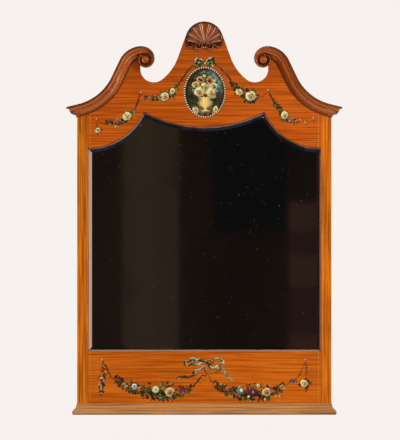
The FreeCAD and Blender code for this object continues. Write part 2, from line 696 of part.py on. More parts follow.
def side_return(front_piece):
    # The same moulding carried back along the frame's side, from its mitre
    face = mitre_faces(front_piece)[0]
    run = face.extrude(Vector(0, FRAME_THICKNESS + CORNICE_PROJECTION, 0))
    far = FRAME_HALF_WIDTH + CORNICE_PROJECTION + OVERRUN
    keep = block((FRAME_HALF_WIDTH, FRAME_FRONT - CORNICE_PROJECTION - OVERRUN, -OVERRUN),
                 (far, FRAME_BACK, TAB_TOP_HEIGHT))
    return run.common(keep)


def swan_neck():
    winding, lower = neck_profile()
    profile = winding + lower
    start = moved(TIP, along(RAKE_ANGLE), -OVERRUN)
    rake_in = inward_of(RAKE_ANGLE)
    neck_in = inward_of(NECK_HEADING)
    rake_run = flat(along(RAKE_ANGLE), 0) * (RAKE_LENGTH + OVERRUN)
    straight_run = flat(along(NECK_HEADING), 0) * NECK_STRAIGHT
    turn_axis = Vector(0, 1, 0)
    rake = profile_face(profile, start, rake_in).extrude(rake_run)
    lower_face = profile_face(profile, RAKE_END, rake_in)
    lower_sweep = lower_face.revolve(flat(LOWER_CENTRE, 0), turn_axis, NECK_HEADING - RAKE_ANGLE)
    straight = profile_face(profile, NECK_FOOT, neck_in).extrude(straight_run)
    upper_face = profile_face(profile, NECK_HEAD, neck_in)
    upper_sweep = upper_face.revolve(flat(UPPER_CENTRE, 0), turn_axis,
                                     CROWN_HEADING - NECK_HEADING)
    ring, floor, eye = volute()
    neck = rake.fuse([lower_sweep, straight, upper_sweep, ring, floor, eye])
    return neck.cut(mitre_cutter(0.0, TAB_TOP_HEIGHT)).removeSplitter()


# Base moulding: profile points are (projection, height)

def base_moulding():
    foot = BASE_PROJECTION - BASE_TORUS_BULGE
    torus_middle = (foot, BASE_FOOT_HEIGHT + BASE_TORUS_HEIGHT / 2)
    torus_top = BASE_FOOT_HEIGHT + BASE_TORUS_HEIGHT
    half_torus = (0, BASE_TORUS_HEIGHT / 2)
    bulge = (BASE_TORUS_BULGE, 0)
    step = foot - BASE_STEP
    cove_top = (BASE_TOP_RETURN, BASE_HEIGHT - BASE_TOP_FILLET)
    profile = [(0, 0), (foot, 0), (foot, BASE_FOOT_HEIGHT)]
    profile += quarter(torus_middle, (0, -BASE_TORUS_HEIGHT / 2), bulge, BASE_FLAT_COUNT)
    profile += quarter(torus_middle, bulge, half_torus, BASE_FLAT_COUNT)
    profile += [(step, torus_top), (step, torus_top + BASE_STEP)]
    profile += hollow(profile[-1], cove_top, BASE_COVE_SAG, BASE_FLAT_COUNT)
    profile += [(BASE_TOP_RETURN, BASE_HEIGHT), (0, BASE_HEIGHT)]
    far = FRAME_HALF_WIDTH + BASE_PROJECTION + OVERRUN
    corners = [Vector(-far, FRAME_FRONT - projection, height) for projection, height in profile]
    run = Part.Face(Part.makePolygon(corners + corners[:1])).extrude(Vector(far * 2, 0, 0))
    cutter = mitre_cutter(-OVERRUN, BASE_HEIGHT + OVERRUN)
    return run.cut(cutter).cut(mirrored(cutter))


# Carved shell

def on_tab(shares):
    return (TAB_CENTRE[0] + TAB_RADIUS * shares[0], TAB_CENTRE[1] + TAB_RADIUS * shares[1])


def shell_carving():
    plate = prism(shell_outline(0), FRAME_FRONT, FRAME_FRONT - SHELL_PLATE_PROJECTION)
    inside = prism(shell_outline(SHELL_RIM_WIDTH), FRAME_FRONT, FRAME_FRONT - SHELL_HINGE_PROJECTION)
    centre_half = SHELL_CENTRE_FLUTE_ANGLE / 2
    side_half = SHELL_FLUTE_ANGLE / 2
    flutes = [flute(0, centre_half)]
    for i in range(SHELL_SIDE_FLUTE_COUNT):
        lean = centre_half + side_half + SHELL_FLUTE_ANGLE * i
        flutes += [flute(lean, side_half), flute(-lean, side_half)]
    fan = flutes[0].fuse(flutes[1:]).common(inside)
    right = [scroll(on_tab(SCROLL_SHARES), 1), scroll(on_tab(CURL_SHARES), CURL_SIZE_SHARE),
             bead(on_tab(BEAD_SHARES))]
    return plate.fuse([fan] + right + [mirrored(piece) for piece in right])


def shell_outline(inset):
    # Round head and straight shoulders, drawn in by the inset
    radius = TAB_RADIUS - SHELL_EDGE_INSET - inset
    low = math.degrees(math.asin(TAB_RADIUS * SHELL_SHOULDER_SHARE / radius))
    foot = moved(on_tab(SHELL_FOOT_SHARES), (-1, 0), inset)
    shoulder = line(foot, on_circle(TAB_CENTRE, radius, low), FRAME_FRONT)
    return ([arc(TAB_CENTRE, radius, low, 180 - low, FRAME_FRONT), shoulder,
             line(foot, (-foot[0], foot[1]), FRAME_FRONT)] + mirrored_edges([shoulder]))


def flute(lean, half):
    # A wedge that widens from the hinge, with a ridge on each side and a hollow front
    tilt = math.radians(lean)
    spread = math.radians(half)
    sections = []
    for station_share in SHELL_STATION_SHARES:
        station = TAB_RADIUS * station_share
        share = station_share / SHELL_STATION_SHARES[-1]
        ridge = SHELL_HINGE_PROJECTION - SHELL_RIDGE_FALL * share ** 2
        depth = SHELL_FLUTE_DEPTH * share
        half_width = station * math.sin(spread)
        middle = moved(on_tab(SHELL_HINGE_SHARES), (math.sin(tilt), math.cos(tilt)),
                       station * math.cos(spread))
        profile = [(-half_width, 0)]
        for i in range(SHELL_FLUTE_FLAT_COUNT + 1):
            place = 2 * i / SHELL_FLUTE_FLAT_COUNT - 1
            profile.append((half_width * place, ridge - depth * (1 - place ** 2)))
        profile.append((half_width, 0))
        sections.append(profile_corners(profile, middle, (math.cos(tilt), -math.sin(tilt)), 1, 1))
    return skinned(sections)


def scroll(centre, size_share):
    radius = TAB_RADIUS * SCROLL_RADIUS_SHARE * size_share
    eye = radius * SCROLL_EYE_SHARE
    groove = radius * SCROLL_GROOVE_SHARE
    crest = (radius + groove) / 2
    top = SCROLL_PROJECTION * (1 + size_share) / 2
    floor = SCROLL_GROOVE_PROJECTION
    edge = SCROLL_EDGE_PROJECTION
    outer = quarter((crest, edge), (radius - crest, 0), (0, top - edge), SCROLL_FLAT_COUNT)
    cap = quarter((0, floor), (eye, 0), (0, top - floor), SCROLL_FLAT_COUNT)
    outline = [(radius, 0), (radius, edge)] + outer + [(groove, floor), (eye, floor)] + cap
    return turned(centre, FRAME_FRONT, outline, SCROLL_SIDE_COUNT)


def bead(centre):
    cap = quarter((0, BEAD_PROJECTION), (BEAD_RADIUS, 0), (0, BEAD_RADIUS), SCROLL_FLAT_COUNT)
    return turned(centre, FRAME_FRONT, [(BEAD_RADIUS, 0), (BEAD_RADIUS, BEAD_PROJECTION)] + cap,
                  BEAD_SIDE_COUNT)


# Mirror plate: flat back, front bevelled all round along the shaped outline

PLATE_GROW = REBATE_WIDTH - PLATE_CLEARANCE
BEVEL_SLOPE = (PLATE_THICKNESS - PLATE_EDGE_THICKNESS) / BEVEL_WIDTH
PLATE_BACK = (REBATE_FLOOR + PLATE_SEAT_GAP + PLATE_EDGE_THICKNESS + PLATE_GROW * BEVEL_SLOPE)


def mirror_glass():
    edge_depth = PLATE_BACK - PLATE_EDGE_THICKNESS
    outer = Part.Wire(opening_edges(PLATE_GROW, edge_depth))
    inner = Part.Wire(opening_edges(PLATE_GROW - BEVEL_WIDTH, PLATE_BACK - PLATE_THICKNESS))
    bevel = Part.makeLoft([outer, inner], True, True)
    plate = prism(opening_edges(PLATE_GROW, edge_depth), edge_depth, PLATE_BACK)
    return plate.fuse(bevel).removeSplitter()


def glazing_block(wall_point, inward_angle):
    # Three-cornered block glued in the rebate behind the plate
    start = -BLOCK_LENGTH / 2
    corners = [Vector(0, PLATE_BACK, start), Vector(BLOCK_LEG, PLATE_BACK, start),
               Vector(0, PLATE_BACK + BLOCK_LEG, start), Vector(0, PLATE_BACK, start)]
    piece = Part.Face(Part.makePolygon(corners)).extrude(Vector(0, 0, BLOCK_LENGTH))
    piece.rotate(Vector(), Vector(0, 1, 0), -inward_angle)
    piece.translate(Vector(wall_point[0], 0, wall_point[1]))
    return piece


def glazing_blocks():
    half = OPENING_HALF_WIDTH + REBATE_WIDTH
    sill = APRON_HEIGHT - REBATE_WIDTH
    side_radius = SIDE_SWEEP_RADIUS - REBATE_WIDTH
    head_radius = HEAD_SWEEP_RADIUS - REBATE_WIDTH
    peak = head_peak(REBATE_WIDTH)
    places = [((OPENING_HALF_WIDTH * share, sill), 90) for share in SILL_BLOCK_SHARES]
    for share in SIDE_BLOCK_SHARES:
        height = sill + (SHOULDER_HEIGHT - sill) * share
        places += [((half, height), 180), ((-half, height), 0)]
    first = 270.0
    last = bearing(SIDE_SWEEP_CENTRE, peak) % 360
    for share in SWEEP_BLOCK_SHARES:
        angle = first + (last - first) * share
        x, height = on_circle(SIDE_SWEEP_CENTRE, side_radius, angle)
        places += [((x, height), angle), ((-x, height), 180 - angle)]
    last = bearing(HEAD_SWEEP_CENTRE, peak) % 360 - first
    for share in (-SWEEP_BLOCK_SHARES[1], 0, SWEEP_BLOCK_SHARES[1]):
        angle = first + last * share
        places.append((on_circle(HEAD_SWEEP_CENTRE, head_radius, angle), angle))
    return [glazing_block(point, angle) for point, angle in places]


# Backboard

def backboard():
    half = FRAME_HALF_WIDTH - BACKBOARD_EDGE_MARGIN
    high, low = backboard_corner()
    right = [(half, BACKBOARD_FOOT_HEIGHT), low, high]
    outline = right + [(-x, height) for x, height in reversed(right)]
    edges = [line(first, last, 0) for first, last in zip(outline, outline[1:] + outline[:1])]
    board = prism(edges, 0, -BACKBOARD_THICKNESS)
    rear = [e for e in board.Edges if abs(e.CenterOfMass.y) < NO_DISTANCE]
    board = board.makeChamfer(BACKBOARD_CHAMFER, rear)
    holes = [board_screw(place, BACKBOARD_THICKNESS + OVERRUN) for place in board_screw_places()]
    return board.cut(holes)


# Ring hangers

KNUCKLE_BORE = RING_BAR_RADIUS + RING_CLEARANCE
KNUCKLE_RADIUS = RING_WIRE_RADIUS + RING_CLEARANCE + STRAP_THICKNESS
PIVOT_DEPTH = FRAME_BACK + KNUCKLE_RADIUS


def hanger_strap():
    across_axis = Vector(1, 0, 0)
    half = STRAP_WIDTH / 2
    end = HANGER_PIVOT_HEIGHT - STRAP_LENGTH
    seat = FRAME_BACK + STRAP_THICKNESS
    plate = block((HANGER_X - half, FRAME_BACK, end + half), (HANGER_X + half, seat,
                  HANGER_PIVOT_HEIGHT - KNUCKLE_RADIUS - STRAP_THICKNESS))
    neck = block((HANGER_X - KNUCKLE_WIDTH / 2, FRAME_BACK, HANGER_PIVOT_HEIGHT - STRAP_WIDTH),
                 (HANGER_X + KNUCKLE_WIDTH / 2, seat, HANGER_PIVOT_HEIGHT))
    round_end = turned((HANGER_X, end + half), seat, [(half, 0), (half, STRAP_THICKNESS)],
                       STRAP_SIDE_COUNT)
    side = HANGER_X - KNUCKLE_WIDTH / 2
    knuckle = Part.makeCylinder(KNUCKLE_RADIUS, KNUCKLE_WIDTH,
                                Vector(side, PIVOT_DEPTH, HANGER_PIVOT_HEIGHT), across_axis)
    bore = Part.makeCylinder(KNUCKLE_BORE, STRAP_WIDTH,
                             Vector(HANGER_X - half, PIVOT_DEPTH, HANGER_PIVOT_HEIGHT), across_axis)
    strap = plate.fuse([neck, round_end, knuckle]).cut(bore)
    holes = [hanger_shank(place, STRAP_THICKNESS) for place in hanger_screw_places()]
    return strap.cut(holes).removeSplitter()


def bend(x, height, radius, first, last, steps):
    # Places round a bend of the ring: its centre, and the bearing there
    places = []
    for i in range(steps + 1):
        angle = first + (last - first) * i / steps
        places.append((on_circle((x, height), radius, angle), angle))
    return places


def wire_section(centre, angle):
    outward = on_circle((0, 0), 1, angle)
    corners = []
    for i in range(RING_WIRE_SIDE_COUNT):
        aside, depth = on_circle((0, PIVOT_DEPTH), RING_WIRE_RADIUS, 360 * i / RING_WIRE_SIDE_COUNT)
        corners.append(flat(moved(centre, outward, aside), depth))
    return corners


def hanger_ring():
    # D-shaped ring: a bar through the knuckle, and wire bent into two corners and a bow
    straight = RING_HALF_WIDTH - RING_CORNER_RADIUS
    leg_top = HANGER_PIVOT_HEIGHT - RING_CORNER_RADIUS
    places = bend(HANGER_X + straight, leg_top, RING_CORNER_RADIUS, 90, 0, RING_CORNER_STEP_COUNT)
    places += bend(HANGER_X, leg_top - RING_LEG_LENGTH, RING_HALF_WIDTH, 0, -180, RING_BOW_STEP_COUNT)
    places += bend(HANGER_X - straight, leg_top, RING_CORNER_RADIUS, 180, 90, RING_CORNER_STEP_COUNT)
    wire = skinned([wire_section(*place) for place in places])
    bar = Part.makeCylinder(RING_BAR_RADIUS, 2 * straight,
                            Vector(HANGER_X - straight, PIVOT_DEPTH, HANGER_PIVOT_HEIGHT),
                            Vector(1, 0, 0))
    return bar.fuse(wire)


# Every piece, one file each

def main():
    os.makedirs("parts", exist_ok=True)
    pieces = frame_members()
    neck = swan_neck()
    neck_return = side_return(neck)
    base = base_moulding()
    base_return = side_return(base)
    strap = hanger_strap()
    ring = hanger_ring()
    board_screws = [board_screw(place, BOARD_SCREW_LENGTH) for place in board_screw_places()]
    hanger_screws = [hanger_screw(place) for place in hanger_screw_places()]
    pieces.update({
        "left_swan_neck": mirrored(neck),
        "right_swan_neck": neck,
        "left_cornice_return": mirrored(neck_return),
        "right_cornice_return": neck_return,
        "shell_carving": shell_carving(),
        "base_moulding_front": base,
        "left_base_return": mirrored(base_return),
        "right_base_return": base_return,
        "mirror_glass": mirror_glass(),
        "glazing_blocks": Part.makeCompound(glazing_blocks()),
        "backboard": backboard(),
        "backboard_screws": Part.makeCompound(board_screws),
        "left_hanger_strap": mirrored(strap),
        "right_hanger_strap": strap,
        "left_hanger_ring": mirrored(ring),
        "right_hanger_ring": ring,
        "hanger_screws": Part.makeCompound(hanger_screws + [mirrored(s) for s in hanger_screws]),
    })
    for node, shape in pieces.items():
        save(node, shape)
        solids = shape.Solids
        print(node, len(solids), "solids", "valid" if shape.isValid() else "INVALID",
              round(sum(s.Volume for s in solids)), "mm3")


main()
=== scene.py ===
"""Looks of a wall mirror in a painted satinwood frame, laid out as a Blender add-on.

Lengths are in metres. The front faces -Y, and heights are measured from the middle of the backboard.
Painted work is placed on a squared drawing: columns run right from the left edge of the sheet, rows
run down from its top, and one square is 2.4 mm.
"""

import math
import random

import bmesh
import bpy
from bpy.props import FloatProperty, FloatVectorProperty, IntProperty, PointerProperty
from mathutils import Matrix, Vector, noise
from mathutils.bvhtree import BVHTree


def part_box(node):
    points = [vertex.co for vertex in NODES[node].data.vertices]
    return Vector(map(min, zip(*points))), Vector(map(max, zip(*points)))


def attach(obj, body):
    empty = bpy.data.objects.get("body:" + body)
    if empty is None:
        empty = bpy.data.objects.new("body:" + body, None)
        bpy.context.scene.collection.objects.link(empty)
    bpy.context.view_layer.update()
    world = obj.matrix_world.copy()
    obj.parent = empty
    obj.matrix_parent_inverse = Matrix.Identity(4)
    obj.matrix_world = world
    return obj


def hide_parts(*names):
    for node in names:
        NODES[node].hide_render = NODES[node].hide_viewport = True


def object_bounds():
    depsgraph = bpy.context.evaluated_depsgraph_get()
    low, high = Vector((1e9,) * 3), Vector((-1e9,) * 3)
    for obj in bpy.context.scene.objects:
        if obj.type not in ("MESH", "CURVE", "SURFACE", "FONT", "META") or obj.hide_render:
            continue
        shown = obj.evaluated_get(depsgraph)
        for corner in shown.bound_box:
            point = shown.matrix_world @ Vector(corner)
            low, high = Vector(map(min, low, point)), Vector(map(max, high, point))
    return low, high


bl_info = {
    "name": "Painted Satinwood Mirror",
    "version": (1, 0, 0),
    "blender": (4, 5, 0),
    "location": "View3D > Sidebar > Mirror",
    "description": "Finishes, carving and painted flowers of a satinwood wall mirror",
    "category": "Object",
}

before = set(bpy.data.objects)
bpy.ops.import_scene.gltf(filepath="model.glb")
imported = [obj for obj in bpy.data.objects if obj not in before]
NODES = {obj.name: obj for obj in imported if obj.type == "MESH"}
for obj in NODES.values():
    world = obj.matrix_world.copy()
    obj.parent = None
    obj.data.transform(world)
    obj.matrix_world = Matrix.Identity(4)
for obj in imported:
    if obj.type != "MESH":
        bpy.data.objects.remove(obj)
CAD_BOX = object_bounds()
BOARD_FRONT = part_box("crest_board")[0].y
BOARD_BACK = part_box("crest_board")[1].y
FRAME_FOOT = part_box("left_stile")[0].z

# Arcs that shape the head of the glass: place across, height above the frame's foot, and radius
HEAD_SWEEP = (0.0, 1.0040, 0.314)
HEAD_WING = (0.280, 0.7884, 0.150)

# The squared drawing of the painted work
SHEET_SQUARE = 0.0024
SHEET_MIDDLE_COLUMN = 204.3
SHEET_FOOT_ROW = 414.5
OVAL_CENTRE = (204.8, 92.2)
PAINT = 0.00012
PAINT_BED = 0.00006
PAINT_LAYER = 0.000024

GOLDEN_ANGLE = 2.39996

# Painter's colours, as linear red, green and blue
INK = {
    "cream": (0.92, 0.64, 0.22),
    "ivory": (1.0, 0.87, 0.44),
    "straw": (0.60, 0.38, 0.08),
    "peach": (0.84, 0.40, 0.15),
    "salmon": (1.0, 0.60, 0.25),
    "blush": (0.66, 0.24, 0.17),
    "auburn": (0.22, 0.045, 0.012),
    "madder": (0.16, 0.015, 0.02),
    "plum": (0.10, 0.02, 0.05),
    "moss": (0.012, 0.020, 0.006),
    "leaf": (0.075, 0.105, 0.014),
    "fern": (0.26, 0.28, 0.07),
    "sage": (0.46, 0.50, 0.27),
    "teal": (0.016, 0.062, 0.046),
    "mint": (0.14, 0.26, 0.19),
    "blue": (0.085, 0.13, 0.20),
    "haze": (0.30, 0.36, 0.40),
    "thread": (0.070, 0.026, 0.005),
    "nail": (0.86, 0.50, 0.26),
    "shade": (0.10, 0.022, 0.004),
    "pearl": (0.88, 0.70, 0.44),
    "white": (0.88, 0.85, 0.76),
}
PLAIN_GREENS = ("moss", "leaf")
DEEP_GREENS = ("moss", "leaf", "moss")


def on_sheet(column, row):
    """Place on the boards' front face of a point of the squared drawing, as x and z."""
    return (
        (column - SHEET_MIDDLE_COLUMN) * SHEET_SQUARE,
        FRAME_FOOT + (SHEET_FOOT_ROW - row) * SHEET_SQUARE,
    )


def sheet_to_board(height):
    """Matrix from squares of the drawing, with x right and y up, to the board, raised to a height."""
    x, z = on_sheet(0, 0)
    return Matrix(((SHEET_SQUARE, 0, 0, x), (0, 0, -height, BOARD_FRONT),
                   (0, SHEET_SQUARE, 0, z), (0, 0, 0, 1)))


# Sizes and colours that a user would change


class MirrorStageSettings(bpy.types.PropertyGroup):
    """Camera, floor and lamps"""

    camera_distance: FloatProperty(
        name="Camera distance", description="From the camera to the front of the frame",
        default=7.0, unit="LENGTH",
    )
    picture_height: FloatProperty(
        name="Picture height", description="Height seen by the camera at the front of the frame",
        default=1.056, unit="LENGTH",
    )
    picture_centre: FloatVectorProperty(
        name="Picture centre", description="Sideways and upward place of the camera",
        size=2, default=(-0.0103, 0.0256), subtype="TRANSLATION",
    )
    floor_drop: FloatProperty(
        name="Floor drop", description="From the underside of the mirror to the floor",
        default=0.36, unit="LENGTH",
    )
    wall_colour: FloatVectorProperty(
        name="Wall colour", description="Colour seen behind the mirror",
        size=3, default=(0.93, 0.885, 0.855), subtype="COLOR",
    )
    ambient: FloatProperty(
        name="Ambient light", description="Strength of the even light from all round", default=0.36,
    )
    key_power: FloatProperty(
        name="Key lamp", description="Power of the large lamp at the upper right",
        default=36.5, unit="POWER",
    )
    fill_power: FloatProperty(
        name="Fill lamp", description="Power of the low lamp that makes the mouldings shine",
        default=16.0, unit="POWER",
    )
    side_power: FloatProperty(
        name="Side lamp", description="Power of the weak lamp at the left",
        default=11.5, unit="POWER",
    )


class MirrorFinishSettings(bpy.types.PropertyGroup):
    """Colours of the woods, the plate and the metal"""

    board_colour: FloatVectorProperty(
        name="Board colour", description="Crest board and apron rail",
        size=3, default=(0.60, 0.096, 0.003), subtype="COLOR",
    )
    stile_colour: FloatVectorProperty(
        name="Stile colour", description="Left and right stile",
        size=3, default=(0.74, 0.150, 0.005), subtype="COLOR",
    )
    moulding_colour: FloatVectorProperty(
        name="Moulding colour", description="Swan-neck mouldings and their returns",
        size=3, default=(0.50, 0.100, 0.012), subtype="COLOR",
    )
    shell_colour: FloatVectorProperty(
        name="Shell colour", description="Carved shell",
        size=3, default=(0.35, 0.080, 0.018), subtype="COLOR",
    )
    base_colour: FloatVectorProperty(
        name="Base moulding colour", description="Faded base moulding and its returns",
        size=3, default=(0.68, 0.28, 0.075), subtype="COLOR",
    )
    stringing_colour: FloatVectorProperty(
        name="Stringing colour", description="Inlaid lines of pale wood",
        size=3, default=(0.72, 0.25, 0.045), subtype="COLOR",
    )
    pine_colour: FloatVectorProperty(
        name="Backboard colour", description="Unfinished softwood at the back",
        size=3, default=(0.36, 0.22, 0.10), subtype="COLOR",
    )
    brass_colour: FloatVectorProperty(
        name="Brass colour", description="Hangers and their screws",
        size=3, default=(0.60, 0.42, 0.17), subtype="COLOR",
    )


class MirrorOvalSettings(bpy.types.PropertyGroup):
    """The painted oval and its border"""

    width: FloatProperty(
        name="Oval width", description="Width of the painted oval inside its pearls",
        default=0.091, unit="LENGTH",
    )
    height: FloatProperty(
        name="Oval height", description="Height of the painted oval inside its pearls",
        default=0.1125, unit="LENGTH",
    )
    pearls: IntProperty(
        name="Pearls", description="Number of pearls round the oval", default=60, min=12,
    )


# Shader expressions and finishes

# Numbers of the Mix node's colour sockets, whose names its other sockets share
MIX_LOW, MIX_HIGH, MIX_RESULT = 6, 7, 2


class Shade:
    """A value, colour or vector that flows through the nodes of one material."""

    def __init__(self, tree, socket):
        self.tree = tree
        self.socket = socket

    def node(self, kind, settings=None, inputs=None, output=0):
        """Adds any node: its settings first, then the values or links of its sockets."""
        made = self.tree.nodes.new(kind)
        for name, value in (settings or {}).items():
            if name == "stops":
                ramp = made.color_ramp
                while len(ramp.elements) < len(value):
                    ramp.elements.new(0.5)
                for element, (place, colour) in zip(ramp.elements, value):
                    element.position = place
                    element.color = (*colour, 1.0)
            else:
                setattr(made, name, value)
        for key, value in (inputs or {}).items():
            socket = made.inputs[key]
            if isinstance(value, Shade):
                self.tree.links.new(value.socket, socket)
            elif isinstance(value, (tuple, list, Vector)) and socket.type == "RGBA":
                socket.default_value = (*value[:3], 1.0)
            else:
                socket.default_value = value
        return Shade(self.tree, made.outputs[output])

    def maths(self, operation, *values):
        """One Math node."""
        return self.node("ShaderNodeMath", {"operation": operation}, dict(enumerate(values)))

    def __add__(self, other):
        return self.maths("ADD", self, other)

    __radd__ = __add__

    def __sub__(self, other):
        return self.maths("SUBTRACT", self, other)

    def __rsub__(self, other):
        return self.maths("SUBTRACT", other, self)

    def __mul__(self, other):
        return self.maths("MULTIPLY", self, other)

    __rmul__ = __mul__

    def __pow__(self, power):
        return self.maths("POWER", self, power)

    def between(self, low, high):
        """0 below low, 1 above high, and smooth in between."""
        return self.node(
            "ShaderNodeMapRange", {"interpolation_type": "SMOOTHSTEP"},
            {"Value": self, "From Min": low, "From Max": high},
        )

    def part(self, axis):
        """The x, y or z of this vector, by its number."""
        return self.node("ShaderNodeSeparateXYZ", None, {0: self}, axis)

    def noise(self, scale, stretch=(1, 1, 1), place=(0, 0, 0), detail=2.0, twist=0.0):
        """Even noise on this vector, from 0 to 1, finer along an axis that is stretched more."""
        mapped = self.node(
            "ShaderNodeMapping", None, {"Vector": self, "Location": place, "Scale": stretch}
        )
        return self.node(
            "ShaderNodeTexNoise", None,
            {"Vector": mapped, "Scale": scale, "Detail": detail, "Distortion": twist},
        )

    def blend(self, low, high):
        """Goes from colour low to colour high as this value goes from 0 to 1."""
        return self.node(
            "ShaderNodeMix", {"data_type": "RGBA", "clamp_factor": True},
            {"Factor": self, MIX_LOW: low, MIX_HIGH: high}, MIX_RESULT,
        )


def new_material(name):
    """An empty material, its shader and the object's own coordinates."""
    material = bpy.data.materials.new(name)
    material.use_nodes = True
    tree = material.node_tree
    shader = tree.nodes["Principled BSDF"]
    place = Shade(tree, tree.nodes.new("ShaderNodeTexCoord").outputs["Object"])
    return material, shader, place


def finish_with(material, shader, colour, roughness, height=None, relief=0.00002, metallic=None):
    """Links what varies over the surface, and leaves the rest on the shader's own sockets."""
    tree = material.node_tree
    for name, value in (("Base Color", colour), ("Roughness", roughness), ("Metallic", metallic)):
        if isinstance(value, Shade):
            tree.links.new(value.socket, shader.inputs[name])
        elif value is not None:
            shader.inputs[name].default_value = (*value, 1.0) if name == "Base Color" else value
    if height is not None:
        facts = {"Height": height, "Distance": relief, "Strength": 1.0}
        bump = height.node("ShaderNodeBump", None, facts)
        tree.links.new(bump.socket, shader.inputs["Normal"])
    return material


def tint(colour, factor, warmth=1.0):
    """A lighter or darker neighbour of a colour."""
    return (min(colour[0] * factor, 1.0), colour[1] * factor * warmth, colour[2] * factor * warmth)


def from_middle(place):
    """Distance to the left or right of the mirror's middle."""
    return (place.part(0) * place.part(0)) ** 0.5


def head_gaps(place):
    """Distances out of the sweep and out of the wings that shape the head of the glass."""
    side, up = from_middle(place), place.part(2) - FRAME_FOOT
    return [
        ((side - across) * (side - across) + (up - height) * (up - height)) ** 0.5 - radius
        for across, height, radius in (HEAD_SWEEP, HEAD_WING)
    ]


def polished_wood(name, colour, along, seed, contrast=1.0, gloss=0.30, shine=0.22, hollow=0.0,
                  ridge=0.0, bands=None, dusk=(), glow=(0.70, 0.34, 0.21), arris=False):
    """Polished satinwood whose grain runs along one or two axes, unpolished behind the boards.

    hollow says how dark the painted shade and dirt in the hollows are, and ridge how strongly
    the ridges take glow, a painted highlight, on a piece whose relief was felt. bands are tones
    from foot to head that paint shade at the foot and highlights and shade up a profile, dusk is
    shade between two heights, and arris paints a shadow line on the board beside the glass.
    """
    material, shader, place = new_material(name)
    fine = [0.022 if axis in along else 1.0 for axis in range(3)]
    broad = [0.05 if axis in along else 1.0 for axis in range(3)]
    figure = place.noise(95.0, broad, (seed, seed, seed), detail=4.0, twist=0.08).between(0.34, 0.68)
    streaks = place.noise(300.0, fine, (seed * 3, 0, seed), detail=3.0).between(0.38, 0.64)
    hairs = place.noise(950.0, fine, (0, seed, seed * 2), detail=2.0).between(0.56, 0.72)
    cloud = place.noise(9.0, (1, 1, 1), (seed, 0, 0), detail=1.0).between(0.3, 0.7)
    low, high = tint(colour, 1.0 - 0.30 * contrast, 0.92), tint(colour, 1.0 + 0.25 * contrast, 1.16)
    tone = (figure * 0.24 + streaks * 0.60 + cloud * 0.16).blend(low, high)
    tone = (hairs * (0.34 * contrast)).blend(tone, tint(colour, 0.42, 0.8))
    # Painted shade at a moulding's foot, and painted highlights and shade in bands up its profile
    if bands:
        foot, head, stops = bands
        height = (place.part(2) - foot) * (1 / (head - foot)) + (cloud - 0.5) * 0.10
        ramp = height.node("ShaderNodeValToRGB", {"stops": stops}, {"Fac": height})
        tone = (streaks * 0.3 + 0.38).blend(tone, ramp)
    for low, high, share in dusk:
        shade = place.part(2).between(low, high) * share
        tone = shade.blend(tone, tint(colour, 0.30, 1.2))
    # Painted shadow line on the board along the head of the glass
    if arris:
        sweep, wing = head_gaps(place)
        edge = sweep.between(-0.0026, -0.0008) * wing.between(-0.0026, -0.0008)
        tone = (edge * (0.45 + cloud * 0.4)).blend(tone, tint(colour, 0.22, 0.8))
    # Painted shade and dirt in the hollows, and the painted highlight glow on the ridges
    if hollow:
        felt = place.node("ShaderNodeAttribute", {"attribute_name": "relief"}, output=2)
        tone = (felt.between(0.04, 0.40) * hollow).blend(tone, tint(colour, 0.10, 0.55))
        tone = ((felt * -1).between(0.04, 0.26) * ridge).blend(tone, glow)
    behind = place.part(1).between(BOARD_BACK - 0.0006, BOARD_BACK - 0.0001)
    tone = behind.blend(tone, streaks.blend(tint(colour, 0.22, 1.3), tint(colour, 0.34, 1.5)))
    rough = streaks * 0.08 + cloud * 0.06 + (gloss - 0.06) + behind * 0.4
    shader.inputs["Specular IOR Level"].default_value = shine
    warm, pores = ((0.64, 0.42), 0.000003) if hollow else ((0.80, 0.62), 0.00003)
    shader.inputs["Specular Tint"].default_value = (1.0, *warm, 1.0)
    return finish_with(material, shader, tone, rough, hairs * -0.7 + streaks * 0.3, pores)


def raw_wood(name, colour, along):
    """Unfinished, darkened softwood with year lines along one axis."""
    material, shader, place = new_material(name)
    fine = [0.04 if axis == along else 1.0 for axis in range(3)]
    lines = place.noise(120.0, fine, detail=2.0, twist=0.4).between(0.35, 0.65)
    dirt = place.noise(7.0, detail=5.0).between(0.35, 0.75)
    fibres = place.noise(900.0, fine, detail=2.0)
    tone = lines.blend(tint(colour, 0.66), tint(colour, 1.15))
    tone = (dirt * 0.55).blend(tone, tint(colour, 0.38))
    rough = fibres * 0.12 + 0.74
    return finish_with(material, shader, tone, rough, lines * 0.6 + fibres * 0.5, 0.00012)


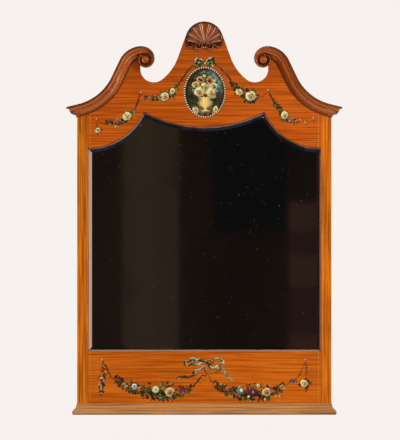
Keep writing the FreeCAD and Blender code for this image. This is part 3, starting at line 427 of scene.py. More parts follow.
def silvered_plate(name):
    """Old silvered glass: a clear mirror, faintly clouded and specked, with painted reflections
    of the frame's edges as pale matt lines and a painted dim reflection in its bevel.
    """
    material, shader, place = new_material(name)
    cloud = place.noise(11.0, detail=6.0, twist=0.3).between(0.45, 0.8)
    tone = (cloud * 0.5).blend((0.86, 0.87, 0.85), (0.70, 0.66, 0.58))
    flecks = place.noise(90.0, detail=3.0) * 0.0016
    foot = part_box("apron_rail")[1].z
    # Painted reflection of the apron's edge: a pale, matt strip along the foot of the glass
    foot_reflection = 1 - (place.part(2) + flecks).between(foot + 0.0032, foot + 0.0050)
    sweep, wing = head_gaps(place)
    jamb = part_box("right_stile")[0].x - from_middle(place)
    bevel = 1 - sweep.between(0.009, 0.011) * wing.between(0.009, 0.011)
    patches = place.noise(17.0, detail=2.0).between(0.42, 0.60)
    # Painted dim reflection in patches of the bevel along the head
    tone = (bevel * patches * 0.75).blend(tone, (0.22, 0.22, 0.24))
    # Painted reflection of the frame's inner edge: a pale, matt line along the head and the sides
    edge_reflection = (1 - (sweep - flecks).between(0.0009, 0.0020) * (wing - flecks).between(0.0009, 0.0020)
            * (jamb - flecks).between(0.0006, 0.0014)) * (0.50 - patches * 0.22)
    tone = edge_reflection.blend(tone, (0.46, 0.36, 0.36))
    specks = (place.noise(330.0, detail=1.0) + bevel * 0.03).between(0.77, 0.80) * 0.6
    tone = specks.blend(tone, (0.40, 0.38, 0.36))
    tone = foot_reflection.blend(tone, (0.50, 0.32, 0.22))
    matt = foot_reflection + (edge_reflection + specks * 0.5) * (1 - foot_reflection)
    return finish_with(material, shader, tone, cloud * 0.05 + 0.025 + matt * 0.6, metallic=1 - matt)


def aged_metal(name, colour, roughness=0.34):
    """Handled metal with dull patches and tarnish."""
    material, shader, place = new_material(name)
    patches = place.noise(240.0, detail=4.0).between(0.35, 0.7)
    scratches = place.noise(900.0, (0.15, 1, 1), detail=2.0)
    tone = (patches * 0.8).blend(colour, tint(colour, 0.45, 0.8))
    return finish_with(material, shader, tone, patches * 0.22 + roughness, scratches, metallic=1.0)


# Modelling and painting by hand


def let_go():
    """Leaves edit mode and deselects everything."""
    if bpy.context.object and bpy.context.object.mode != "OBJECT":
        bpy.ops.object.mode_set(mode="OBJECT")
    bpy.ops.object.select_all(action="DESELECT")


def take(*pieces):
    """Selects only these pieces, the first of them active."""
    let_go()
    for piece in pieces:
        piece.select_set(True)
    bpy.context.view_layer.objects.active = pieces[0]


def merged_copy(node, name, angle=40.0):
    """A copy of a CAD node with its triangles merged and its curves shaded smooth."""
    source = NODES[node]
    piece = bpy.data.objects.new(name, source.data.copy())
    bpy.context.scene.collection.objects.link(piece)
    take(piece)
    bpy.ops.object.mode_set(mode="EDIT")
    bpy.ops.mesh.select_all(action="SELECT")
    bpy.ops.mesh.remove_doubles(threshold=0.00001)
    bpy.ops.mesh.tris_convert_to_quads(face_threshold=0.02, shape_threshold=0.7)
    bpy.ops.object.mode_set(mode="OBJECT")
    bpy.ops.object.shade_smooth_by_angle(angle=math.radians(angle))
    return piece


def feel_relief(piece, reach, rays=28, shade_and_sheen=None):
    """Stores on each vertex how deep it lies: above 0 in a hollow, below 0 on a ridge.

    A function given as the last argument adds painted shade and highlights to each place.
    Without one, ridges come from the bend of the mesh and take a painted highlight, open outer
    arrises are darkened, and painted shade is added where the piece meets the board.
    """
    mesh = piece.data
    places = [vertex.co.copy() for vertex in mesh.vertices]
    tree = BVHTree.FromPolygons(places, [tuple(face.vertices) for face in mesh.polygons])
    fan = []
    for index in range(rays):
        lean = math.sqrt((index + 0.5) / rays)
        turn = index * GOLDEN_ANGLE
        up = math.sqrt(1.0 - lean * lean)
        fan.append(Vector((lean * math.cos(turn), lean * math.sin(turn), up)))
    bulge = [0.0] * len(places)
    links = [0] * len(places)
    for edge in mesh.edges:
        for here, there in (edge.vertices, reversed(edge.vertices)):
            way = (places[there] - places[here]).normalized()
            bulge[here] += way.dot(mesh.vertices[here].normal)
            links[here] += 1
    clear, sharp, seam_width = 0.00005, -0.12, 0.0035
    values = []
    for index, vertex in enumerate(mesh.vertices):
        across = vertex.normal.to_track_quat("Z", "Y")
        start = places[index] + vertex.normal * clear
        # Rays that meet the piece itself mark a hollow, which the material paints as shade
        hits = sum(tree.ray_cast(start, across @ ray, reach)[0] is not None for ray in fan)
        if shade_and_sheen:
            values.append(hits / rays + shade_and_sheen(places[index]))
            continue
        # Ridges take a painted highlight; open outer arrises are darkened as a line
        ridge = min(bulge[index] / max(links[index], 1), 0.0)
        outer_edge = hits == 0 and ridge < sharp
        # Painted shade where the piece meets the board
        seam = 0.3 if places[index].y > BOARD_FRONT - seam_width else 0.0
        values.append((0.36 if outer_edge else hits / rays + ridge) + seam)
    layer = mesh.attributes.new("relief", "FLOAT", "POINT")
    layer.data.foreach_set("value", values)


def coat(piece, material):
    """Makes this the piece's only material."""
    piece.data.materials.clear()
    piece.data.materials.append(material)


def hand_over(piece, material, body, slot, *nodes):
    """Gives a finished piece its material and its body, and hides the nodes that it stands for.

    slot is not used.
    """
    coat(piece, material)
    let_go()
    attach(piece, body)
    if nodes:
        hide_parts(*nodes)


def pick(piece, kind, test):
    """In edit mode, selects only the faces or vertices that pass a test."""
    bpy.ops.mesh.select_mode(type=kind)
    bpy.ops.mesh.select_all(action="DESELECT")
    bm = bmesh.from_edit_mesh(piece.data)
    for item in bm.faces if kind == "FACE" else bm.verts:
        if test(item):
            item.select_set(True)
    bm.select_flush(True)
    bmesh.update_edit_mesh(piece.data)


def upward(face):
    """Whether a face of a flat model is on its top."""
    return face.normal.z > 0.9


def mark_model(name, sides, radius, along, depth, shape, tone, bend=None):
    """A small flat model, shaped in edit mode, whose faces are numbered by the tone they take."""
    let_go()
    bpy.ops.mesh.primitive_cylinder_add(
        vertices=sides, radius=radius, depth=depth, location=(0, along, depth / 2)
    )
    model = bpy.context.object
    bpy.ops.object.transform_apply(location=True, rotation=False, scale=False)
    for slot in range(3):
        model.data.materials.append(None)
    bpy.ops.object.mode_set(mode="EDIT")
    shape(model)
    bpy.ops.object.mode_set(mode="OBJECT")
    for face in model.data.polygons:
        face.material_index = tone(face)
    if bend:
        for corner in model.data.vertices:
            bend(corner.co)
    mesh = model.data
    mesh.name = name
    bpy.data.objects.remove(model)


def dab_model():
    """A dab of paint one unit in radius and height: tones are middle, rim and edge."""
    lift = 0.35

    def shape(dab):
        pick(dab, "FACE", upward)
        bpy.ops.mesh.inset(thickness=0.34, depth=lift)

    mark_model("dab", 9, 1.0, 0, 1.0 - lift, shape,
               lambda face: 2 if face.normal.z < 0.1 else 0 if face.normal.z > 0.999 else 1)


def leaf_model(name, width):
    """A leaf one unit long from its stalk, ridged along its midrib: two tones and an edge."""
    def shape(leaf):
        bpy.ops.mesh.select_all(action="SELECT")
        bpy.ops.transform.resize(value=(width, 1, 1))
        pick(leaf, "VERT", lambda corner: abs(corner.co.y - 0.5) > 0.35)
        bpy.ops.transform.resize(value=(0.62, 1, 1))
        pick(leaf, "FACE", upward)
        bpy.ops.mesh.poke(offset=0.4)

    mark_model(name, 10, 0.5, 0.5, 0.6, shape,
               lambda face: 2 if face.normal.z < 0.2 else 0 if face.center.x > 0 else 1)


def petal_model():
    """A crescent bent round a circle one unit in radius: tones are outer half, inner half and edge."""
    def shape(petal):
        pick(petal, "FACE", upward)
        bpy.ops.mesh.poke(offset=0.4)

    def bend(corner):
        turn = 0.86 * corner.x
        far = 1.0 + 0.44 * corner.y
        corner.x, corner.y = far * math.sin(turn), far * math.cos(turn)

    mark_model("petal", 12, 1.0, 0, 0.6, shape,
               lambda face: 2 if face.normal.z < 0.1 else 0 if face.center.y > 0 else 1, bend)


def fill_with_paint(mesh, inks):
    """Writes the inks of a mesh's tones into its paint attribute, and leaves one material slot."""
    layer = mesh.color_attributes.new(name="paint", type="FLOAT_COLOR", domain="CORNER")
    values = []
    for face in mesh.polygons:
        ink = inks[min(face.material_index, len(inks) - 1)]
        values.extend((*ink, 1.0) * face.loop_total)
        face.material_index = 0
    layer.data.foreach_set("color", values)
    mesh.materials.clear()


def profile_width(profile, up):
    """Half width of an outline of (height, half width) rows at one height."""
    for (low, narrow), (high, wide) in zip(profile, profile[1:]):
        if low <= up <= high:
            return narrow + (wide - narrow) * (up - low) / (high - low)
    return profile[-1][1]


class Sheet:
    """Paint laid on the front of a board, gathered into one piece."""

    def __init__(self, name, seed):
        self.name = name
        self.rng = random.Random(seed)
        self.marks = []
        if "dab" not in bpy.data.meshes:
            dab_model()
            leaf_model("leaf", 0.52)
            leaf_model("blade", 0.24)
            petal_model()

    def ink(self, name, factor=1.0, spread=0.10):
        """A colour of the palette, lighter or darker, never twice quite the same."""
        shift = factor * (1.0 + self.rng.uniform(-spread, spread))
        return tuple(min(part * shift, 1.0) for part in INK[name])

    def inks(self, *names):
        """Colours, each asked for by its name or by its name and how light it is."""
        return [self.ink(*([name] if isinstance(name, str) else name)) for name in names]

    def stamp(self, model, column, row, across, along, turn, inks, layer=0):
        """Copies a small model onto the board. Sizes are in squares, turn is in degrees."""
        x, z = on_sheet(column, row)
        face = Matrix(((1, 0, 0, x), (0, 0, -1, BOARD_FRONT + PAINT_BED), (0, 1, 0, z), (0, 0, 0, 1)))
        thickness = PAINT_BED + PAINT + layer * PAINT_LAYER
        grown = Matrix.Diagonal((across * SHEET_SQUARE, along * SHEET_SQUARE, thickness, 1))
        mesh = bpy.data.meshes[model].copy()
        mesh.transform(face @ Matrix.Rotation(math.radians(turn), 4, "Z") @ grown)
        fill_with_paint(mesh, inks)
        mark = bpy.data.objects.new(model, mesh)
        bpy.context.scene.collection.objects.link(mark)
        self.marks.append(mark)

    def spot(self, column, row, radius, inks, layer=0, stretch=1.0, turn=0.0):
        """A dab of mixed inks."""
        self.stamp("dab", column, row, radius, radius * stretch, turn, inks, layer)

    def dab(self, column, row, radius, names, layer=0, stretch=1.0, turn=0.0):
        """A dab of inks asked for as inks() takes them."""
        self.spot(column, row, radius, self.inks(*names), layer, stretch, turn)

    def leaf(self, column, row, length, turn, name="leaf", layer=0, model="leaf", wide=1.0):
        """A leaf from its stalk outwards, light on one half and dark on the other."""
        light, dark = self.inks((name, 1.35), (name, 0.65))
        self.stamp(model, column, row, length * wide, length, turn, (light, dark, dark), layer)

    def stroke(self, points, width, name, layer=0, ends=0.35, other=None, factor=1.0, flicker=False):
        """A brush stroke along points of the drawing, thin at its ends, uneven in tone if it flickers."""
        curve = bpy.data.curves.new("stroke", "CURVE")
        curve.dimensions = "3D"
        curve.resolution_u = 4
        curve.bevel_depth = 0.5 * width
        curve.bevel_resolution = 0
        curve.use_fill_caps = True
        spline = curve.splines.new("NURBS")
        spline.points.add(len(points) - 1)
        for index, (point, (column, row)) in enumerate(zip(spline.points, points)):
            point.co = (column, -row, 0, 1)
            point.radius = ends if index in (0, len(points) - 1) else 1.0
        spline.order_u = 3
        spline.use_endpoint_u = True
        mark = bpy.data.objects.new("stroke", curve)
        bpy.context.scene.collection.objects.link(mark)
        take(mark)
        bpy.ops.object.convert(target="MESH")
        mesh = mark.data
        for slot in range(3):
            mesh.materials.append(None)
        for face in mesh.polygons:
            face.material_index = 1 if face.normal.x + face.normal.y < 0 else 0
        shift = Vector((self.rng.uniform(0, 90), 0, 0))
        sheen = [noise.noise(corner.co * 0.30 + shift) * 3.2 - 0.25 for corner in mesh.vertices]
        mesh.transform(sheet_to_board((PAINT + layer * PAINT_LAYER) / (0.5 * width)))
        first = self.ink(name, factor, 0.05)
        second = self.ink(other, factor, 0.05) if other else tuple(part * 0.7 for part in first)
        fill_with_paint(mesh, (first, second))
        if flicker:
            shine = tuple(min(part * 1.4 + 0.05, 0.8) for part in first)
            paint = mesh.color_attributes["paint"].data
            for loop in mesh.loops:
                glow = max(min(sheen[loop.vertex_index], 1.0), -1.0)
                goal = (*(shine if glow > 0 else second), 1.0)
                tone = paint[loop.index].color
                paint[loop.index].color = [
                    part + (end - part) * abs(glow) for part, end in zip(tone, goal)]
        self.marks.append(mark)

    def string(self, points, width):
        """A dark string wound with very small leaves."""
        self.stroke(points, width * 1.15, "thread", 0, flicker=True)
        reach = sum(math.dist(here, there) for here, there in zip(points, points[1:]))
        self.garland(points, 0.5 * width, round(reach * 0.9), 0.85 + 0.7 * width,
                     ("thread", "moss", "auburn", "shade"))

    def ribbon(self, points, width, name, layer=0, ends=0.35, other="moss"):
        """A silk ribbon that shows its dark and its shining side by turns."""
        self.stroke(points, width * 1.4, name, layer, ends, other, 1.1, True)

    def nest(self, column, row, radius):
        """Twelve leaves that stand out unevenly all round a bloom."""
        for turn in range(0, 360, 30):
            turn += self.rng.uniform(-40, 40)
            angle = math.radians(turn)
            reach = radius * self.rng.uniform(0.2, 0.8)
            self.leaf(column - reach * math.sin(angle), row - reach * math.cos(angle),
                      radius * self.rng.uniform(0.4, 0.95) + 0.5, turn + self.rng.uniform(-40, 40),
                      self.rng.choice(("moss", "moss", "leaf", "shade", "fern")),
                      self.rng.uniform(0, 2), wide=self.rng.uniform(0.8, 1.5))

    def rose(self, column, row, radius, light="ivory", mid="cream", heart="blush", layer=3):
        """A full rose of lapped petals round an offset heart, lit from the upper left."""
        self.nest(column, row, radius)
        self.spot(column, row, radius * 0.86, self.inks((mid, 0.40), ("straw", 0.30)), layer, 0.9,
                  self.rng.uniform(0, 180))
        start = self.rng.uniform(0, 360)
        for ring, (reach, count, outer, inner) in enumerate((
            (0.66, 5, (light, 1.0), (mid, 0.70)),
            (0.45, 4, (light, 0.95), (heart, 0.72)),
            (0.25, 3, (mid, 1.0), (heart, 0.42)),
        )):
            for index in range(count):
                turn = start + ring * 40 + (index + self.rng.uniform(-0.3, 0.3)) * 360 / count
                lit = 0.86 + 0.34 * math.cos(math.radians(turn - 40))
                size = radius * reach * self.rng.uniform(0.78, 1.18)
                inks = self.inks((outer[0], outer[1] * lit), (inner[0], inner[1] * lit), (mid, 0.3))
                self.stamp("petal", column + 0.05 * ring * radius, row + 0.06 * ring * radius,
                           size, size, turn, inks, layer + 1.5 + ring * 3 + index * 0.6)
        self.dab(column + 0.14 * radius, row + 0.16 * radius, radius * 0.13,
                 ((heart, 0.35), (heart, 0.2)), layer + 12)

    def small_flower(self, column, row, radius, petal, pale, eye="straw", count=5, layer=3):
        """A flower of one ring of petals round an eye."""
        start = self.rng.uniform(0, 72)
        for index in range(count):
            angle = math.radians(start + index * 360 / count)
            lit = 1.0 + 0.3 * math.cos(angle - math.radians(120))
            inks = ((pale, lit), (petal, lit), (petal, 0.6))
            self.dab(column + 0.55 * radius * math.cos(angle), row - 0.55 * radius * math.sin(angle),
                     radius * 0.46, inks, layer + index * 0.5, 0.85, math.degrees(angle) - 90)
        self.dab(column, row, radius * 0.24, (eye, "auburn"), layer + 4)

    def berries(self, column, row, radius, name, count=5, layer=2):
        """A loose cluster of berries, each lit on its top."""
        for index in range(count):
            angle = self.rng.uniform(0, math.tau)
            reach = radius * self.rng.uniform(0.1, 0.75)
            inks = self.inks((name, 1.8), name, (name, 0.5))
            self.spot(column + reach * math.cos(angle), row - reach * math.sin(angle),
                      radius * self.rng.uniform(0.30, 0.42), inks, layer + index * 0.5)

    def spray(self, start, end, count, length, spread, names, layer=0, lean=48):
        """Leaves to both sides of a line from start to end."""
        fuller, longer = 1.5, 1.22
        count = round(count * fuller)
        length = length * longer
        heading = math.degrees(math.atan2(start[1] - end[1], end[0] - start[0])) - 90
        for index in range(count):
            share = (index + self.rng.uniform(0.1, 0.9)) / count
            side = 1 if index % 2 else -1
            self.leaf(
                start[0] + (end[0] - start[0]) * share + self.rng.uniform(-spread, spread),
                start[1] + (end[1] - start[1]) * share + self.rng.uniform(-spread, spread),
                length * self.rng.uniform(0.75, 1.25),
                heading + side * self.rng.uniform(0.5, 1.6) * lean,
                self.rng.choice(names), layer + self.rng.uniform(0, 2),
                "blade" if self.rng.random() < 0.3 else "leaf",
            )

    def garland(self, points, width, count, length, names):
        """Leaves crowded along a line of points, thickest in its middle."""
        lengths = [math.dist(here, there) for here, there in zip(points, points[1:])]
        for index in range(count):
            share = (index + self.rng.random()) / count
            reach = share * sum(lengths)
            for (here, there), step in zip(zip(points, points[1:]), lengths):
                if reach <= step:
                    break
                reach -= step
            along = min(reach / step, 1.0)
            spread = width * (0.45 + 0.55 * math.sin(math.pi * share))
            off = spread * self.rng.uniform(-1, 1)
            heading = math.degrees(math.atan2(here[1] - there[1], there[0] - here[0])) - 90
            self.leaf(
                here[0] + (there[0] - here[0]) * along + self.rng.uniform(-0.6, 0.6),
                here[1] + (there[1] - here[1]) * along - off,
                length * self.rng.uniform(0.6, 1.3),
                heading + 90 * math.copysign(self.rng.uniform(0.1, 1.5), off),
                self.rng.choice(names), self.rng.uniform(0, 2.4),
                "blade" if self.rng.random() < 0.3 else "leaf", self.rng.uniform(0.8, 1.3),
            )

    def nail(self, column, row):
        """A painted picture nail with its small shadow."""
        self.stroke([(column + 0.2, row + 0.4), (column + 0.5, row + 1.6)], 0.35, "shade")
        self.dab(column + 0.32, row + 0.3, 0.86, ("shade",))
        self.dab(column, row, 0.80, (("nail", 1.3), "nail", "shade"), 1)
        self.stroke([(column - 0.9, row + 0.2), (column - 0.3, row)], 0.25, "shade")

    def finish(self, material):
        """Joins every mark into one piece that rides on the frame."""
        take(*self.marks)
        bpy.ops.object.join()
        piece = bpy.context.object
        piece.name = self.name
        piece.data.name = self.name
        hand_over(piece, material, "frame", "satinwood_board")


def painted_finish(name, gloss=0.34):
    """Oil paint under old varnish, coloured by each mark's own paint."""
    material, shader, place = new_material(name)
    paint = place.node("ShaderNodeAttribute", {"attribute_name": "paint"})
    grime = place.noise(420.0, detail=3.0).between(0.42, 0.72)
    brush = place.noise(1500.0, (1, 1, 0.5), detail=1.0)
    tone = (grime * 0.20).blend(paint, (0.12, 0.050, 0.012))
    shader.inputs["Specular IOR Level"].default_value = 0.2
    return finish_with(material, shader, tone, grime * 0.2 + gloss, brush)


# Steps, one for each group of like pieces and one for the stage


class MIRROR_OT_stage(bpy.types.Operator):
    """Sets up the camera, floor, lamps and surroundings"""

    bl_idname = "mirror.stage"
    bl_label = "Stage"

    def execute(self, context):
        settings = context.scene.mirror_stage
        scene = context.scene
        scene.view_settings.view_transform = "Standard"
        side, up = settings.picture_centre
        bpy.ops.object.camera_add(
            location=(side, BOARD_FRONT - settings.camera_distance, up),
            rotation=(math.radians(90), 0, 0),
        )
        camera = context.object
        camera.name = "camera"
        film = 36.0
        camera.data.sensor_width = film
        camera.data.lens = film * settings.camera_distance / settings.picture_height
        scene.camera = camera
        self.surround(scene, settings)
        self.floor(settings)
        self.room()
        for name, place, size, power, colour in (
            ("key_lamp", (1.5, -2.3, 1.2), (0.9, 1.3), settings.key_power, (1.0, 0.975, 0.94)),
            ("fill_lamp", (2.2, -1.3, -1.2), (0.3, 0.8), settings.fill_power, (0.96, 0.98, 1.0)),
            ("side_lamp", (-2.3, -1.9, 0.3), (1.0, 1.8), settings.side_power, (1.0, 0.99, 0.97)),
        ):
            bpy.ops.object.light_add(type="AREA", location=place)
            lamp = context.object
            lamp.name = name
            lamp.data.shape = "RECTANGLE"
            lamp.data.size, lamp.data.size_y = size
            lamp.data.energy = power
            lamp.data.color = colour
            lamp.rotation_euler = (-Vector(place)).to_track_quat("-Z", "Y").to_euler()
        let_go()
        return {"FINISHED"}

    def surround(self, scene, settings):
        """Even light all round, seen directly and in metal as a pale wall."""
        world = bpy.data.worlds.new("studio")
        scene.world = world
        world.use_nodes = True
        tree = world.node_tree
        background = tree.nodes["Background"]
        path = tree.nodes.new("ShaderNodeLightPath")
        seen, mirrored, through = (
            Shade(tree, path.outputs["Is %s Ray" % kind]) for kind in ("Camera", "Glossy", "Transmission")
        )
        shown = seen.maths("MAXIMUM", seen.maths("MAXIMUM", seen, mirrored), through)
        ambient = (settings.ambient,) * 3
        colour = shown.blend(ambient, tuple(settings.wall_colour))
        tree.links.new(colour.socket, background.inputs["Color"])

    def floor(self, settings):
        """A pale floor that fades out before its edge."""
        bpy.ops.mesh.primitive_circle_add(
            vertices=96, radius=1.7, fill_type="NGON",
            location=(0, 0, CAD_BOX[0].z - settings.floor_drop),
        )
        floor = bpy.context.object
        floor.name = "floor"
        material, shader, place = new_material("pale_floor")
        across, deep = place.part(0), place.part(1)
        far = (across * across + deep * deep) ** 0.5
        grain = place.noise(60.0).between(0.3, 0.7)
        tone = (grain * 0.25).blend((0.80, 0.775, 0.75), (0.74, 0.715, 0.69))
        finish_with(material, shader, tone, 0.9)
        material.node_tree.links.new((1 - far.between(0.75, 1.6)).socket, shader.inputs["Alpha"])
        floor.data.materials.append(material)
        floor.visible_glossy = False

    def room(self):
        """The dim room behind the camera, which only polished surfaces show."""
        bpy.ops.mesh.primitive_cylinder_add(vertices=64, radius=5.2, depth=8.0, end_fill_type="NOTHING")
        room = bpy.context.object
        room.name = "dim_room"
        bpy.ops.object.mode_set(mode="EDIT")
        pick(room, "FACE", lambda face: face.calc_center_median().y > -0.5)
        bpy.ops.mesh.delete(type="FACE")
        bpy.ops.object.mode_set(mode="OBJECT")
        for kind in ("camera", "diffuse", "transmission", "volume_scatter", "shadow"):
            setattr(room, "visible_" + kind, False)
        material = bpy.data.materials.new("dim_room_light")
        material.use_nodes = True
        tree = material.node_tree
        tree.nodes.clear()
        place = Shade(tree, tree.nodes.new("ShaderNodeTexCoord").outputs["Object"])
        side, up = place.part(0), place.part(2)
        patches = place.noise(1.1, (1, 1, 0.4), detail=3.0).between(0.3, 0.7)
        tone = patches.blend((0.0050, 0.0036, 0.0030), (0.0125, 0.0080, 0.0058))
        stripes = place.noise(2.6, (1, 1, 0.05), detail=2.0).between(0.4, 0.65)
        pillar = side.between(-0.345, -0.32) * (1 - side.between(-0.115, -0.085))
        tone = pillar.blend(tone, stripes.blend((0.022, 0.0150, 0.0090), (0.032, 0.0220, 0.0130)))
        night = side.between(0.02, 0.06) * (1 - side.between(0.33, 0.37)) * up.between(-0.06, 0.0)
        tone = night.blend(tone, (0.0045, 0.0045, 0.0050))
        chest = side.between(0.35, 0.37) * (1 - side.between(0.53, 0.56)) * (1 - up.between(0.09, 0.12))
        drawers = place.noise(7.0, (0.05, 0.05, 1), detail=1.0).between(0.42, 0.58)
        tone = chest.blend(tone, drawers.blend((0.0190, 0.0092, 0.0074), (0.0300, 0.0140, 0.0110)))
        above = up.between(0.95, 1.15)
        tone = above.blend(tone, (0.020, 0.022, 0.034))
        right = side.between(1.15, 1.3)
        tone = right.blend(tone, (0.022, 0.011, 0.008))
        away = side * -1
        left = away.between(1.25, 1.35) * (1 - away.between(2.3, 2.6)) * (1 - up.between(0.35, 0.5))
        tone = left.blend(tone, (0.56, 0.37, 0.27))
        # The room glows with its own painted colours, which the glass and polish show as reflections
        glow = tone.node("ShaderNodeEmission", None, {"Color": tone, "Strength": 1.0})
        out = tree.nodes.new("ShaderNodeOutputMaterial")
        tree.links.new(glow.socket, out.inputs["Surface"])
        room.data.materials.append(material)


class MIRROR_OT_finishes(bpy.types.Operator):
    """Gives the parts that are shown as drawn their finishes"""

    bl_idname = "mirror.finishes"
    bl_label = "Finishes"

    def execute(self, context):
        colours = context.scene.mirror_finish
        crest = polished_wood("crest_satinwood", tuple(colours.board_colour), (0,), 1.3, 1.25,
                              dusk=((on_sheet(0, 92)[1], on_sheet(0, 66)[1], 0.28),
                                    (on_sheet(0, 46)[1], on_sheet(0, 36)[1], 0.70)), arris=True)
        apron = polished_wood("apron_satinwood", tint(colours.board_colour, 1.12, 1.18), (0,), 7.9, 1.25)
        stile = polished_wood("stile_satinwood", tuple(colours.stile_colour), (2,), 4.1, contrast=1.9)
        line = polished_wood("boxwood_line", tuple(colours.stringing_colour), (2,), 2.2, contrast=0.5)
        pine = raw_wood("backboard_softwood", tuple(colours.pine_colour), 2)
        brass = aged_metal("dull_brass", tuple(colours.brass_colour))
        steel = aged_metal("dull_steel", (0.36, 0.33, 0.30), 0.42)
        plate = silvered_plate("old_silvering")
        for material, nodes in (
            (crest, ("crest_board",)),
            (apron, ("apron_rail",)),
            (stile, ("left_stile", "right_stile")),
            (line, ("upper_left_stringing", "upper_right_stringing",
                    "apron_left_stringing", "apron_right_stringing")),
            (plate, ("mirror_glass",)),
            (pine, ("backboard", "glazing_blocks")),
            (steel, ("backboard_screws",)),
            (brass, ("hanger_screws", "left_hanger_strap", "right_hanger_strap")),
        ):
            for node in nodes:
                coat(NODES[node], material)
        return {"FINISHED"}


class MIRROR_OT_mouldings(bpy.types.Operator):
    """Shades the swan necks, returns and base moulding as smooth runs"""

    bl_idname = "mirror.mouldings"
    bl_label = "Mouldings"

    def execute(self, context):
        colours = context.scene.mirror_finish
        # Painted shade and dirt in the hollows and where the necks meet the board, and a painted highlight
        # on the ridges
        neck = polished_wood("moulding_satinwood", tuple(colours.moulding_colour), (0, 2), 5.5,
                             contrast=0.8, gloss=0.23, shine=0.9, hollow=0.72, ridge=0.40,
                             glow=(0.60, 0.20, 0.045))
        foot, head = (corner.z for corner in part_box("base_moulding_front"))
        # Tones from foot to head: painted shade under the roll at the foot, and painted highlights and
        # shade in bands up the profile
        stops = ((0.0, (0.20, 0.070, 0.025)), (0.11, (0.27, 0.090, 0.026)), (0.20, (0.66, 0.27, 0.100)),
                 (0.48, (0.76, 0.30, 0.120)), (0.60, (0.50, 0.17, 0.050)), (0.74, (0.72, 0.31, 0.075)),
                 (0.88, (0.40, 0.14, 0.045)), (0.94, (0.62, 0.30, 0.13)))
        base = polished_wood("faded_satinwood", tuple(colours.base_colour), (0,), 3.3, contrast=2.1,
                             bands=(foot, head, stops), gloss=0.26)
        for node in ("left_swan_neck", "right_swan_neck", "left_cornice_return", "right_cornice_return"):
            piece = merged_copy(node, node + "_smooth")
            feel_relief(piece, 0.008)
            hand_over(piece, neck, "frame", "satinwood_moulding", node)
        for node in ("base_moulding_front", "left_base_return", "right_base_return"):
            hand_over(merged_copy(node, node + "_smooth"), base, "frame", "faded_moulding", node)
        return {"FINISHED"}


